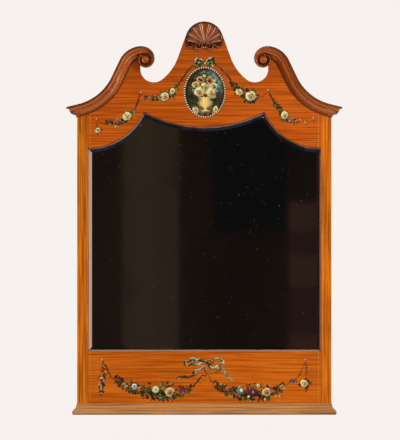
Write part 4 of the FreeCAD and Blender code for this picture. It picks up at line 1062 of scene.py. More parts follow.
class MIRROR_OT_shell(bpy.types.Operator):
    """Carves the shell on the tab of the crest: lapped flutes, spiral scrolls, curls and beads"""

    bl_idname = "mirror.shell"
    bl_label = "Shell"

    ANGLES = 400
    RINGS = 64
    MARGIN = 0.0012

    # Shares of the tab's radius, from the tab's centre
    HINGE = -0.19
    PLATE_SHOULDER = -0.105
    PLATE_FOOT = -0.41
    FOOT_HALF = 0.79
    MIDDLE = -0.1
    SCROLLS = ((0.314, -0.281, 0.281, 10.9), (0.735, -0.237, 0.188, 9.1))
    BEAD = (0.057, -0.377)

    # Millimetres
    PLATE = 3.2
    BEAD_RADIUS = 2.2
    BEAD_FOOT = 7.4
    RIM = 4.4

    # Degrees from upright: half the middle flute, each other flute, and the last one's end
    MIDDLE_HALF = 14
    FLUTE = 21.5
    FAN_END = 100

    def execute(self, context):
        colours = context.scene.mirror_finish
        # Painted shade in the hollows and a painted highlight on the ridges, as the relief sets them
        wood = polished_wood("shell_satinwood", tuple(colours.shell_colour), (2,), 9.1,
                             gloss=0.20, shine=0.9, hollow=1.0, ridge=0.9)
        low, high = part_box("shell_carving")
        radius = (high.x - low.x) / 2 + self.MARGIN
        centre = high.z - radius + self.MARGIN
        self.radius, self.centre = radius, centre
        self.edge = 1 - self.MARGIN / radius
        self.unit = radius * 1000
        let_go()
        bpy.ops.mesh.primitive_grid_add(x_subdivisions=self.ANGLES, y_subdivisions=self.RINGS, size=1)
        piece = bpy.context.object
        piece.name = "shell_smooth"
        across = self.ANGLES + 1
        reaches = [self.reach(math.tau * index / self.ANGLES) for index in range(across)]
        for index, corner in enumerate(piece.data.vertices):
            ring, spoke = divmod(index, across)
            turn = math.tau * spoke / self.ANGLES
            share = min(ring / (self.RINGS - 1), 1.0) * reaches[spoke]
            a, b = share * math.sin(turn), share * math.cos(turn) + self.MIDDLE
            rise = 0.0 if ring == self.RINGS else self.rise(a, b) / 1000
            corner.co = (a * radius, BOARD_FRONT - rise, centre + b * radius)
        take(piece)
        bpy.ops.object.mode_set(mode="EDIT")
        bpy.ops.mesh.select_all(action="SELECT")
        bpy.ops.mesh.remove_doubles(threshold=0.000002)
        bpy.ops.mesh.normals_make_consistent(inside=False)
        bpy.ops.object.mode_set(mode="OBJECT")
        bpy.ops.object.shade_smooth_by_angle(angle=math.radians(50))
        feel_relief(piece, 0.007, 16, self.shade_and_sheen)
        hand_over(piece, wood, "frame", "carved_shell", "shell_carving")
        return {"FINISHED"}

    def shade_and_sheen(self, place):
        """Painted shade and highlights of the carving.

        Shade beside the ridges, round the rim and beyond the fan, highlights on the ridges,
        the beads and towards the hinge, and less shade in the scrolls.
        """
        a, b = abs(place.x) / self.radius, (place.z - self.centre) / self.radius
        far, lean, along = self.flute(a, b)
        below_scrolls, hinge_reach, ridge = -0.30, 0.16, 0.82
        # The beads take a painted highlight, and the scrolls less painted shade
        if b < below_scrolls:
            return -0.34 if self.from_bead(a, b) < self.BEAD_RADIUS else -0.10
        # Painted shade beyond the fan and round the rim
        if lean > self.FAN_END:
            return 0.08
        inside = self.limit(a, b) * self.unit
        if inside < self.RIM:
            return 0.26
        if far < hinge_reach:
            return 0.0
        # Painted shade grows towards the rim, and a painted sheen towards the hinge
        near_rim = max(0.0, 1 - (inside - self.RIM) / 7.0)
        near_hinge = max(0.0, 1 - far / 0.62)
        shift = 0.16 * near_rim - 0.22 * near_hinge
        # Ridges take a painted highlight, and painted shade deepens beside them on the flutes
        if along > ridge:
            return -0.36 + shift
        return 0.56 * along ** 4 + (0.06 if lean > self.MIDDLE_HALF else -0.05) + shift

    def limit(self, a, b):
        """Distance in from the outline of the plate, in units of the tab's radius."""
        if b >= self.PLATE_SHOULDER:
            return self.edge - math.hypot(a, b)
        shoulder_half = math.sqrt(self.edge ** 2 - self.PLATE_SHOULDER ** 2)
        up, whole = b - self.PLATE_FOOT, self.PLATE_SHOULDER - self.PLATE_FOOT
        wide = self.FOOT_HALF + (shoulder_half - self.FOOT_HALF) * up / whole
        return min(wide - abs(a), up)

    def from_bead(self, a, b):
        """Distance from the middle of the nearer bead, in millimetres."""
        return math.hypot(a - self.BEAD[0], b - self.BEAD[1]) * self.unit

    def reach(self, turn):
        """How far the shell goes from its middle in one direction."""
        for step in range(230, 0, -1):
            far = step / 200
            if self.rise(far * math.sin(turn), far * math.cos(turn) + self.MIDDLE) > 0:
                return far
        return 0.0

    def rise(self, a, b):
        """Height of the carving above the board in millimetres."""
        a = abs(a)
        inside = self.limit(a, b)
        height = 0.0
        if inside > 0:
            height = self.PLATE + self.fan(a, b, inside * self.unit)
        for x, y, size, top in self.SCROLLS:
            far = math.hypot(a - x, b - y) / size
            if far < 1.0:
                phase = 2.1 * far + math.atan2(b - y, a - x) / math.tau
                wave = math.cos(math.tau * phase)
                height = max(height, (1.0 - far ** 6) ** 0.5 * top * (0.80 + 0.20 * wave))
        bead = self.from_bead(a, b)
        if bead < self.BEAD_RADIUS:
            height = max(height, self.BEAD_FOOT + math.sqrt(self.BEAD_RADIUS ** 2 - bead ** 2))
        return height

    def flute(self, a, b):
        """Distance and lean from the hinge, and the place between the middle and a ridge of a flute."""
        far = math.hypot(a, b - self.HINGE)
        lean = math.degrees(math.atan2(a, b - self.HINGE))
        if lean > self.MIDDLE_HALF:
            return far, lean, abs(((lean - self.MIDDLE_HALF) / self.FLUTE % 1) * 2 - 1)
        return far, lean, abs(lean / self.MIDDLE_HALF)

    def fan(self, a, b, inside):
        """Hollow flutes between ridges that run out from the hinge, with a round end each."""
        far, lean, place = self.flute(a, b)
        if lean > self.FAN_END:
            return 0.0
        place = min(place, 0.94)
        share = far / 1.18
        lap = (inside - 1.5 - 2.2 * place ** 4) / 1.6
        lap = max(0.0, min(lap, 1.0))
        crown = 5.6 - 2.6 * share ** 2
        hollow = 4.5 * share ** 0.7 * (1 - place ** 2.6)
        return max(crown - hollow + 0.5 * share, 0.3) * lap * (2 - lap)


class MIRROR_OT_rings(bpy.types.Operator):
    """Rounds the wire of the two hanging rings"""

    bl_idname = "mirror.rings"
    bl_label = "Hanging rings"

    def execute(self, context):
        brass = bpy.data.materials["dull_brass"]
        for side in ("left", "right"):
            node = side + "_hanger_ring"
            piece = merged_copy(node, side + "_ring_wire", 60.0)
            hand_over(piece, brass, side + "_ring", "hanger_brass", node)
        return {"FINISHED"}


class MIRROR_OT_crest_flowers(bpy.types.Operator):
    """Paints the two swags on each side of the crest board"""

    bl_idname = "mirror.crest_flowers"
    bl_label = "Crest flowers"

    def execute(self, context):
        sheet = Sheet("crest_flowers", 11)
        green = ("moss", "moss", "moss", "leaf", "leaf", "fern", "shade")
        sheet.garland([(178.5, 84), (173, 92), (165, 98), (155, 98.6), (144.6, 97.4)], 2.1, 62, 2.9,
                      green)
        sheet.garland([(134.5, 109.5), (127, 118), (117.6, 122.6), (106.4, 122.6)], 2.1, 56, 2.8, green)
        sheet.garland([(230.4, 80.4), (237.6, 90), (246, 98.6), (256.6, 98.4)], 2, 56, 2.8, green)
        sheet.garland([(273.8, 101.4), (279.6, 110), (286.4, 118.6), (296, 121.8)], 2, 50, 2.7, green)
        self.left(sheet)
        self.right(sheet)
        sheet.finish(painted_finish("crest_paint"))
        return {"FINISHED"}

    def left(self, sheet):
        string, spray, leaf, rose = sheet.string, sheet.spray, sheet.leaf, sheet.rose
        green = ("moss", "leaf", "leaf", "fern")
        string([(193.5, 65), (190, 68.2), (186.6, 72), (183.4, 77.6), (179.6, 82.2), (177.4, 87.5)], 1.21)
        for column, row, turn in ((187.3, 72, 150), (184.6, 76.2, 120), (182.7, 79.4, 170),
                                  (179, 83.4, 130)):
            leaf(column, row, 1.7, turn, "thread", 1)
            leaf(column, row, 1.5, turn - 100, "moss", 1)
        spray((178, 86), (171, 93), 14, 3, 1.3, green)
        spray((173, 88), (173, 96), 8, 2.6, 1.2, PLAIN_GREENS)
        rose(172.2, 91.2, 3, "ivory", "cream", "straw")
        leaf(161.2, 93.4, 3.6, 12, "leaf", 2)
        leaf(162.6, 93.6, 3.2, -28, "moss", 2)
        spray((169, 99), (157, 98), 15, 3, 1.6, ("moss", "moss", "leaf", "fern"))
        rose(165, 96.8, 4.5, "ivory", "peach", "blush")
        leaf(160.4, 99.6, 3.4, 130, "fern", 2)
        leaf(158.6, 98.8, 3, 105, "leaf", 2)
        spray((157, 98), (145.5, 97.6), 12, 2.5, 0.9, green)
        sheet.small_flower(149.4, 98.2, 2.3, "madder", "blush", "plum", 5)
        leaf(154.6, 97.4, 2.6, 60, "moss", 2)
        leaf(145.8, 97.2, 2.2, 75, "fern", 1)
        string([(143.6, 96.4), (141.8, 95), (141, 93)], 0.43)
        sheet.nail(141, 92.6)
        string([(140.6, 93.6), (139.4, 97), (137.4, 102.4), (135.6, 107.6), (133.6, 111.6)], 1.15)
        for column, row, turn in ((139.4, 97, 160), (137, 103, 200), (136, 106.8, 150), (139, 97.6, 40)):
            leaf(column, row, 1.4, turn, "shade", 1)
        spray((134.5, 110), (128, 116), 13, 2.7, 1.2, green)
        spray((128, 120), (118, 124), 14, 2.6, 1.4, ("moss", "leaf", "fern", "moss"))
        rose(127, 116.4, 4.1, "ivory", "cream", "straw")
        sheet.small_flower(117.2, 120.2, 2.8, "madder", "blush", "plum", 5)
        leaf(116.4, 125.2, 3, 150, "sage", 2)
        leaf(118.6, 126, 2.6, 195, "fern", 2)
        spray((114.5, 121.6), (106.5, 123), 11, 2.3, 0.9, DEEP_GREENS)
        string([(106.8, 123.2), (103, 123.4), (99.6, 121.4), (96.8, 119.4)], 0.49)
        sheet.nail(96.6, 118.9)
        string([(96.8, 120), (97.4, 124), (97.7, 127.5)], 0.43)
        leaf(97.4, 124.6, 2.8, 170, "leaf", 1)
        leaf(97.3, 125.4, 2, 110, "moss", 1)
        rose(98, 130, 2.8, "ivory", "peach", "auburn")
        leaf(100.2, 130.4, 1.9, -80, "madder", 2)
        leaf(97.7, 132.4, 2.6, 178, "moss", 1)
        leaf(97.2, 132, 1.8, 130, "leaf", 1)

    def right(self, sheet):
        spray, leaf = sheet.spray, sheet.leaf
        sheet.string([(214.6, 63.8), (219, 67), (223.4, 71), (228.2, 76.2), (231, 80.6), (234.4, 87)],
                     1.15)
        for column, row, turn in ((228.6, 76.5, 215), (230.4, 79.6, 250), (232.2, 83, 190),
                                  (229.6, 78, 160)):
            leaf(column, row, 1.8, turn, "moss", 1)
        spray((231.5, 83), (238, 90), 13, 2.7, 1.2, DEEP_GREENS)
        spray((244.5, 91), (246.5, 101), 12, 3, 1.6, ("moss", "moss", "leaf"))
        sheet.rose(239.6, 92.2, 3.9, "ivory", "cream", "peach")
        spray((247, 101.5), (256, 99), 10, 2.8, 1.3, PLAIN_GREENS)
        spray((252, 91.5), (257, 96), 8, 2.3, 0.9, ("moss", "thread"))
        sheet.rose(250.4, 96.2, 5.5, "ivory", "cream", "peach")
        sheet.stroke([(256.6, 96.6), (260.4, 97.2), (264, 95.6), (267.8, 91.2)], 0.32, "shade", 0)
        for column, row, turn in ((259.4, 97, 300), (262.6, 96.4, 230), (264.6, 94.6, 330)):
            leaf(column, row, 1.5, turn, "shade", 1)
        sheet.nail(268.2, 90)
        sheet.string([(268.6, 91.4), (270.2, 95), (272.2, 98.8), (274.4, 102.4), (277, 106.4)], 1.21)
        for column, row, turn in ((271.8, 98, 200), (273.4, 101, 250), (274.6, 102.8, 170)):
            leaf(column, row, 1.6, turn, "moss", 1)
        spray((274.5, 103), (281, 111), 15, 2.6, 1.1, DEEP_GREENS)
        leaf(282.2, 110.8, 3.4, 8, "leaf", 2)
        spray((281, 119), (289, 121), 9, 2.6, 1, ("leaf", "moss"))
        sheet.rose(284.5, 115.3, 4.1, "ivory", "cream", "fern")
        sheet.small_flower(290.8, 119.4, 2.6, "plum", "blush", "madder", 5)
        sheet.dab(289.4, 121.2, 0.8, ("white", "blush"), 6, 0.7, 30)
        spray((292, 117.5), (296, 123), 8, 2.4, 1.2, ("auburn", "moss", "thread"))
        for index in range(9):
            column = 296.5 + index * 1.55
            row = 122.6 - 1.6 * math.sin(index * 0.8) - index * 0.12
            leaf(column, row, 2.6, 30 + 40 * math.sin(index * 2.1), "straw", 1, "blade")
            leaf(column + 0.4, row + 0.3, 2, 160 + 35 * math.sin(index * 1.3), "thread", 0, "blade")
        sheet.stroke([(309.4, 121.4), (311.8, 120.4), (313.2, 118.8)], 0.26, "straw", 0)
        sheet.nail(313.3, 118)
        sheet.string([(313.4, 119.4), (313.9, 122.6), (314.3, 126.8)], 0.35)
        leaf(314.3, 124.4, 2, 170, "straw", 1, "blade")
        leaf(314.2, 124.8, 1.6, 215, "straw", 1, "blade")


class MIRROR_OT_apron_flowers(bpy.types.Operator):
    """Paints the two festoons and the two drops on the apron rail"""

    bl_idname = "mirror.apron_flowers"
    bl_label = "Apron flowers"

    def execute(self, context):
        sheet = Sheet("apron_flowers", 23)
        green = ("moss", "moss", "moss", "shade", "leaf", "leaf", "auburn", "shade", "fern")
        sheet.garland([(114, 379), (122.4, 384), (131, 387.6), (141, 390.4), (151, 393.6), (163, 395.6),
                       (174, 394), (184, 390.8), (190, 388)], 3.4, 185, 3.8, green)
        sheet.garland([(214.6, 383.6), (221, 388), (230, 391.4), (240, 395), (252, 396), (264, 395),
                       (274, 391.6), (284, 386.6)], 3.3, 175, 3.7, green)
        sheet.garland([(103, 366), (102.8, 374), (101.8, 384), (102.2, 394)], 3.2, 70, 2.8,
                      ("auburn", "straw", "thread", "moss", "peach", "shade"))
        for index in range(14):
            column, row = (150 + index * 2.4, 392.4) if index < 7 else (222 + index * 2.9, 394.2)
            sheet.dab(column, row + sheet.rng.uniform(-1, 2), 3.1, (("moss", 0.8), ("shade", 0.8)), 0,
                      0.7, index * 50)
        self.left(sheet)
        self.right(sheet)
        sheet.finish(painted_finish("apron_paint"))
        return {"FINISHED"}

    def left(self, sheet):
        string, spray, leaf, dab = sheet.string, sheet.spray, sheet.leaf, sheet.dab
        sheet.nail(102.1, 359.9)
        string([(102.3, 361.2), (102.8, 365), (103.2, 370), (102.6, 374)], 0.49)
        string([(102.6, 361.4), (104.6, 365), (107, 368.7), (109.6, 374), (112.4, 378)], 0.92)
        for column, row, turn in ((105, 366, 330), (107, 368.8, 300), (106.4, 368, 210), (108.6, 372, 190)):
            leaf(column, row, 1.9, turn, "thread", 1)
        for index in range(6):
            leaf(103.2, 371.4 + index * 0.7, 2.5, 150 + index * 24, "straw" if index % 2 else "thread", 1,
                 "blade")
        spray((102.4, 372.5), (101.6, 391), 34, 2.3, 2, ("shade", "thread", "plum", "moss"), 1, 60)
        for index in range(13):
            sheet.small_flower(102 + sheet.rng.uniform(-3, 3) * (1 - abs(index - 7) / 12),
                               376.5 + index * 1.15, sheet.rng.uniform(0.7, 1.1),
                               "peach" if index % 3 else "madder", "cream", "shade", 4, 4)
        string([(101.8, 391), (101.5, 395), (101.6, 399.4)], 0.4)
        for row, turn in ((392.6, 150), (394.4, 215), (396.2, 160), (397.6, 205)):
            leaf(101.6, row, 1.7, turn, "straw", 1, "blade")
        for turn in range(0, 360, 60):
            leaf(114.4 - 0.3 * math.sin(math.radians(turn)), 379 - 0.3 * math.cos(math.radians(turn)),
                 2.1, turn + 15, "madder" if turn % 120 else "auburn", 1, "blade")
        dab(114.4, 379, 0.6, (("blush", 0.7), "plum"), 2)
        string([(114.4, 379), (118.4, 381.6), (122.6, 383.6), (127, 386)], 0.52)
        spray((117, 381), (122, 383.6), 9, 1.9, 0.6, ("madder", "thread", "moss"))
        spray((122, 384), (130, 389.5), 9, 2.6, 1, ("moss", "leaf", "moss", "fern"))
        leaf(122.2, 383.2, 3.4, 255, "sage", 3, wide=0.8)
        leaf(125.2, 384.8, 3.4, 235, "sage", 3, wide=0.7)
        spray((129.5, 383), (137.5, 386), 12, 2.6, 1.2, DEEP_GREENS)
        spray((131, 389), (136, 391.5), 10, 2.8, 1.1, ("teal", "moss", "leaf"), 1)
        sheet.small_flower(134.4, 386.2, 3.3, "haze", "white", "teal", 5, 5)
        leaf(133.4, 389.4, 2.8, 100, "mint", 3)
        dab(138.6, 387.6, 0.9, ("white", "blush"), 6, 0.7, 40)
        spray((140, 390), (150, 391), 20, 3, 2.2, ("moss", "moss", "leaf", "teal"))
        sheet.stroke([(149.6, 390), (149.2, 385), (149.4, 381.6)], 0.4, "moss", 1)
        for turn in (-40, 0, 40):
            leaf(149.4, 384.4, 2.6, turn, "moss", 2)
        leaf(144.4, 388.4, 3, 60, "fern", 3, "blade")
        leaf(141.8, 386.8, 2.6, 20, "leaf", 3)
        spray((150, 394), (166, 397), 26, 3, 2, ("moss", "leaf", "moss", "teal"), 0)
        spray((158, 384.6), (172, 386), 18, 2.8, 1.3, ("leaf", "moss", "fern"), 0)
        sheet.small_flower(155.7, 389.6, 4, "sage", "ivory", "fern", 6, 5)
        dab(155.4, 389.2, 2, ("ivory", "sage"), 9, 0.8, 30)
        for column, row, turn in ((145, 397.6, 115), (152.6, 398.6, 150), (160.8, 398.4, 160),
                                  (171, 399.8, 200)):
            leaf(column, row, 2.8, turn, "madder" if row > 398 else "moss", 2)
        leaf(171.4, 400, 2, 150, "blush", 3)
        sheet.rose(169.8, 392.2, 4.9, "salmon", "peach", "madder")
        spray((172, 396.6), (178, 395.4), 10, 2.5, 1.1, PLAIN_GREENS, 1)
        sheet.berries(180.2, 389.6, 3.7, "madder", 8, 2)
        sheet.berries(182.2, 391.4, 3, "plum", 6, 3)
        dab(178.6, 389, 0.9, (("blush", 1.2), "blush"), 8, 0.6, 60)
        spray((176.4, 386.6), (188, 390.6), 14, 2.3, 1.3, ("auburn", "moss", "thread"), 0)
        string([(186.6, 391.2), (190, 388.6), (193.6, 385.4), (197, 382), (200, 378.4), (202.4, 374.4)],
               0.98)
        for turn in (80, 130, 200, 260):
            leaf(193.4, 385.6, 2.6, turn, "auburn", 1)
        for column, row, turn in ((198.2, 380.8, 200), (200.4, 382, 160), (199.4, 379.6, 40)):
            leaf(column, row, 1.9, turn, "thread", 1)

    def right(self, sheet):
        spray, leaf, dab = sheet.spray, sheet.leaf, sheet.dab
        small_flower, berries = sheet.small_flower, sheet.berries
        sheet.string([(208.6, 374), (210.2, 379), (211.6, 382.6), (214.6, 383.4)], 0.49)
        leaf(209.2, 376.4, 2.2, 190, "auburn", 1)
        leaf(211, 381, 1.7, 150, "madder", 1)
        leaf(214, 383, 1.6, 120, "madder", 1)
        spray((216.4, 384.6), (222, 388.6), 14, 2.5, 1.4, ("moss", "leaf", "thread"))
        leaf(221.8, 385.6, 2.7, 25, "peach", 3)
        berries(223.8, 388.2, 1.6, "madder", 3, 3)
        spray((225, 390), (230, 393.6), 12, 2.4, 1.2, ("moss", "leaf", "thread"))
        small_flower(227.6, 388.4, 2.6, "madder", "blush", "plum", 5, 4)
        sheet.stroke([(228.6, 391), (228, 394), (227.4, 397)], 0.4, "thread", 1)
        spray((231, 386.6), (236, 391.5), 12, 2.3, 1.2, ("moss", "thread", "leaf"))
        spray((237, 395.5), (252, 399), 24, 2.7, 1.4, DEEP_GREENS, 0)
        small_flower(240.3, 390.7, 4.4, "blue", "mint", "white", 6, 4)
        dab(241.3, 390.2, 2, ("ivory", "haze"), 9, 1.2, 20)
        leaf(237.6, 388.2, 4.4, -40, "sage", 8, "blade")
        spray((245, 385.4), (261, 385.6), 14, 2.4, 1, ("leaf", "moss", "fern"), 0)
        berries(247.4, 390.6, 3, "madder", 7, 2)
        small_flower(253.2, 391.6, 4.4, "plum", "madder", "haze", 6, 4)
        dab(253, 392.2, 1.3, ("haze", "blue"), 9, 1.6, 20)
        dab(248.5, 396.6, 1.5, ("white", "sage"), 8, 0.8, 40)
        small_flower(258.2, 385.6, 2, "sage", "ivory", "fern", 5, 4)
        leaf(249, 384.4, 2.2, 40, "fern", 2)
        for column, row, turn in ((254.6, 399.4, 165), (257.6, 399, 195), (264.8, 398, 150),
                                  (266.4, 400, 200)):
            leaf(column, row, 2.3, turn, "cream" if turn < 170 else "madder", 3, "blade")
        spray((260, 397), (270, 398), 12, 2.5, 1.2, ("moss", "leaf", "auburn"), 0)
        sheet.rose(266.5, 392, 5, "salmon", "peach", "madder")
        leaf(265.4, 398, 2.8, 170, "cream", 5)
        leaf(269.6, 386.6, 3, 20, "peach", 3, "blade")
        leaf(265.6, 385.4, 2.2, 330, "fern", 3)
        spray((272.4, 391), (279, 388), 14, 2.4, 1.3, ("moss", "auburn", "thread"), 0)
        leaf(278.4, 388, 6, -50, "sage", 3, "blade")
        leaf(278.8, 386.6, 5.6, -36, "moss", 2, "blade")
        leaf(280.2, 389.2, 6, -75, "peach", 2, "blade")
        spray((274, 395), (281, 395.6), 8, 1.8, 0.8, ("fern", "straw", "auburn"), 0)
        berries(274.6, 396.2, 1.4, "blush", 3, 3)
        dab(279.6, 396.2, 0.7, ("cream",), 3)
        small_flower(293.4, 381.4, 2.1, "blue", "plum", "auburn", 5, 2)
        spray((289.8, 381), (296, 381), 7, 1.7, 0.8, ("moss", "thread"), 0)
        sheet.string([(284, 385.6), (288, 383.6), (293, 381.2), (297.4, 377.2), (300, 374),
                      (303.2, 366.8), (305.2, 361.2)], 0.4)
        for turn in (40, 150, 260):
            leaf(300, 374.4, 2, turn, "auburn", 1)
        sheet.nail(305.4, 359.6)
        sheet.string([(305.6, 361), (306.4, 365), (306.5, 371), (305.8, 377)], 0.43)
        for row in (365.4, 368.2, 370.8, 373.4):
            leaf(306.4, row, 2.1, 60, "leaf" if row > 369 else "thread", 1, "blade")
            leaf(306.4, row + 0.4, 2.1, -60, "moss", 1, "blade")
        spray((302.6, 379), (308.4, 387), 10, 2, 1.2, ("auburn", "moss"), 0)
        sheet.rose(304.5, 383.4, 4.1, "ivory", "cream", "straw")
        berries(310.6, 383.4, 1.9, "madder", 5, 3)
        sheet.stroke([(305.2, 387.4), (305.6, 390.4), (306, 394)], 0.3, "shade", 0)
        leaf(305.4, 387.6, 2.4, 175, "auburn", 1)
        dab(305.9, 391.6, 0.8, ("madder", "auburn"), 1)


class MIRROR_OT_bows(bpy.types.Operator):
    """Paints the ribbon bows over the oval and on the apron"""

    bl_idname = "mirror.bows"
    bl_label = "Ribbon bows"

    def execute(self, context):
        sheet = Sheet("ribbon_bows", 31)
        self.apron_bow(sheet)
        self.oval_bow(sheet)
        sheet.finish(painted_finish("ribbon_paint"))
        return {"FINISHED"}

    def apron_bow(self, sheet):
        for ribbon in (
            ([(204.4, 363), (201.4, 360.4), (198.4, 359.2), (195.2, 360.2),
              (192, 361)], 1.9, "sage", 2, 0.6),
            ([(203.8, 362.2), (200.8, 360), (197.8, 358.9)], 0.7, "sage", 4),
            ([(196.6, 361.4), (195, 359.2), (192.8, 358.2), (190.4, 359.8),
              (189.2, 361.4)], 2.2, "sage", 3, 0.5),
            ([(192.4, 358.2), (190, 358.8), (188.2, 360.6)], 0.8, "sage", 5),
            ([(189.6, 360.6), (186.6, 361), (184.8, 363), (185.4, 365),
              (187.4, 365.8)], 2, "sage", 4, 0.5),
            ([(188.6, 361.8), (186.6, 362.2), (185.6, 363.6)], 0.6, "ivory", 6),
            ([(187.4, 366), (189.6, 365.4), (191.6, 364), (194, 363.6)], 1.1, "auburn", 3, 0.4),
            ([(186.6, 365.4), (188.6, 364.8), (190.8, 363), (192.6, 362.4)], 0.7, "peach", 5),
            ([(191.6, 364.4), (194.6, 365.2), (197.6, 364.6), (200.6, 362.8),
              (203.6, 362.6)], 1.7, "sage", 3, 0.4),
            ([(192.6, 365.8), (195.4, 366), (198.4, 365)], 0.5, "sage", 5),
            ([(204.4, 362.4), (206.4, 360.6), (209.2, 359.4), (211.6, 360.6)], 1.1, "sage", 3, 0.4),
            ([(203.6, 360.8), (206, 362.4), (209.2, 363.6), (212, 365)], 1.6, "moss", 2, 0.5),
            ([(211.2, 361.2), (213.6, 359.4), (216.8, 357.8), (219.2, 358.4)], 1.8, "sage", 4, 0.4),
            ([(212.2, 358.8), (210.8, 360.6), (212.4, 362.8), (214, 363.8)], 1, "auburn", 3, 0.4),
            ([(218.6, 357.4), (221.6, 358.8), (223.6, 361.8), (222.4, 364),
              (219.6, 365)], 1.8, "sage", 3, 0.5),
            ([(220.6, 360.4), (222, 361.8), (221.4, 363.2)], 1, "haze", 5),
            ([(220, 364.4), (217.4, 366), (214.6, 367.8), (212, 368.4), (209.4, 366.4),
              (207.6, 364)], 2.1, "sage", 4, 0.4),
            ([(217, 365.4), (214.2, 367), (211.6, 367.2)], 0.6, "ivory", 6),
            ([(223.6, 364.8), (220.6, 366.2), (218.4, 368.4), (215.6, 370.6)], 0.9, "peach", 3, 0.4),
            ([(214.8, 372), (217, 372.2), (219.6, 370.6), (221.6, 368.2),
              (223, 368.4)], 1.1, "auburn", 4, 0.4),
            ([(218.6, 373), (221, 371), (222.4, 369)], 0.8, "sage", 3, 0.4),
            ([(222.4, 368), (224, 370.6), (225.2, 373.4), (227.6, 376.4), (229.8, 378.8),
              (232.4, 380.6)], 1.9, "leaf", 3, 0.4, "sage"),
            ([(226.4, 374.2), (228.4, 377), (230.6, 379.2)], 0.5, "sage", 6),
            ([(204.6, 364.8), (203, 367.2), (200.6, 369.2), (198, 370), (194.8, 370.8),
              (192.6, 372.6)], 1.6, "sage", 3, 0.4),
            ([(203.6, 366.6), (201.6, 368.6), (199.6, 369.4)], 0.6, "moss", 5),
            ([(192.2, 372.6), (193.4, 373.6), (195.4, 373.4), (197, 372.6)], 1.9, "sage", 4, 0.5, "moss"),
            ([(197.6, 374.6), (194.4, 375.4), (191.4, 376), (188.6, 377.6), (185, 376.2),
              (181.6, 376.6), (178.4, 377.2), (176.2, 378.8)], 1.2, "moss", 3, 0.3),
            ([(188.6, 378.6), (185.4, 377.4), (182, 377.6), (178.6, 378), (176.4, 379)], 0.6, "sage", 5),
            ([(204.2, 365), (205.6, 368.6), (207.4, 371.8), (208.8, 374)], 1, "auburn", 2, 0.4, "blush"),
            ([(203.8, 365.4), (204.4, 369.6), (205.8, 372.8), (206.8, 374.8)], 0.7, "shade", 2, 0.4),
            ([(201.8, 375), (204, 376), (207, 375.6), (208.8, 373.8)], 0.9, "leaf", 2, 0.4),
        ):
            sheet.ribbon(*ribbon)
        sheet.dab(204.2, 363.6, 1.5, (("blush", 0.7), "auburn"), 8, 1.25, 20)
        sheet.dab(203.7, 363.2, 0.6, ("peach", "blush"), 12, 0.7, 20)

    def oval_bow(self, sheet):
        for ribbon in (
            ([(204.8, 62.8), (202, 60), (198.8, 58.2), (195.6, 58.8), (194.8, 61), (197.6, 62.4),
              (201, 62.8)], 1.5, "sage", 2, 0.5),
            ([(203.6, 63.2), (200.4, 62.6), (197.8, 64.4), (200.4, 66),
              (203.8, 64.4)], 1.2, "fern", 3, 0.5),
            ([(205.2, 62.6), (207.2, 59.4), (210.4, 57.8), (213.6, 58.2), (215, 60.2), (212.6, 62),
              (208, 62.6)], 1.5, "sage", 2, 0.5),
            ([(205.6, 63.4), (208.6, 62.4), (212, 62), (213, 64), (210.2, 65.6),
              (206.4, 64.2)], 1.2, "fern", 3, 0.5),
            ([(203.8, 64), (200.6, 66.2), (197.4, 67.2), (194, 66.2), (192.2, 67)], 1.4, "fern", 2, 0.4),
            ([(206, 64), (208.6, 66), (212, 66.2), (215.4, 65.2)], 1.4, "sage", 2, 0.4),
        ):
            sheet.ribbon(*ribbon)
        for column, row, turn in ((197.6, 60.4, 20), (212, 60, 150), (200.2, 64.6, 60), (209.8, 64.2, 120),
                                  (201, 60.6, 0), (208.6, 60.4, 0), (196.4, 63.4, 0), (213.4, 63, 0)):
            sheet.dab(column, row, 2, (("moss", 0.9), ("leaf", 0.7)), 0, 0.8, turn)
            sheet.dab(column - 1.6, row - 1.2, 0.55, ("ivory", "sage"), 8, 0.6, turn)
        sheet.dab(205, 63.2, 1.5, (("ivory", 0.8), "moss"), 9, 1.1, 10)


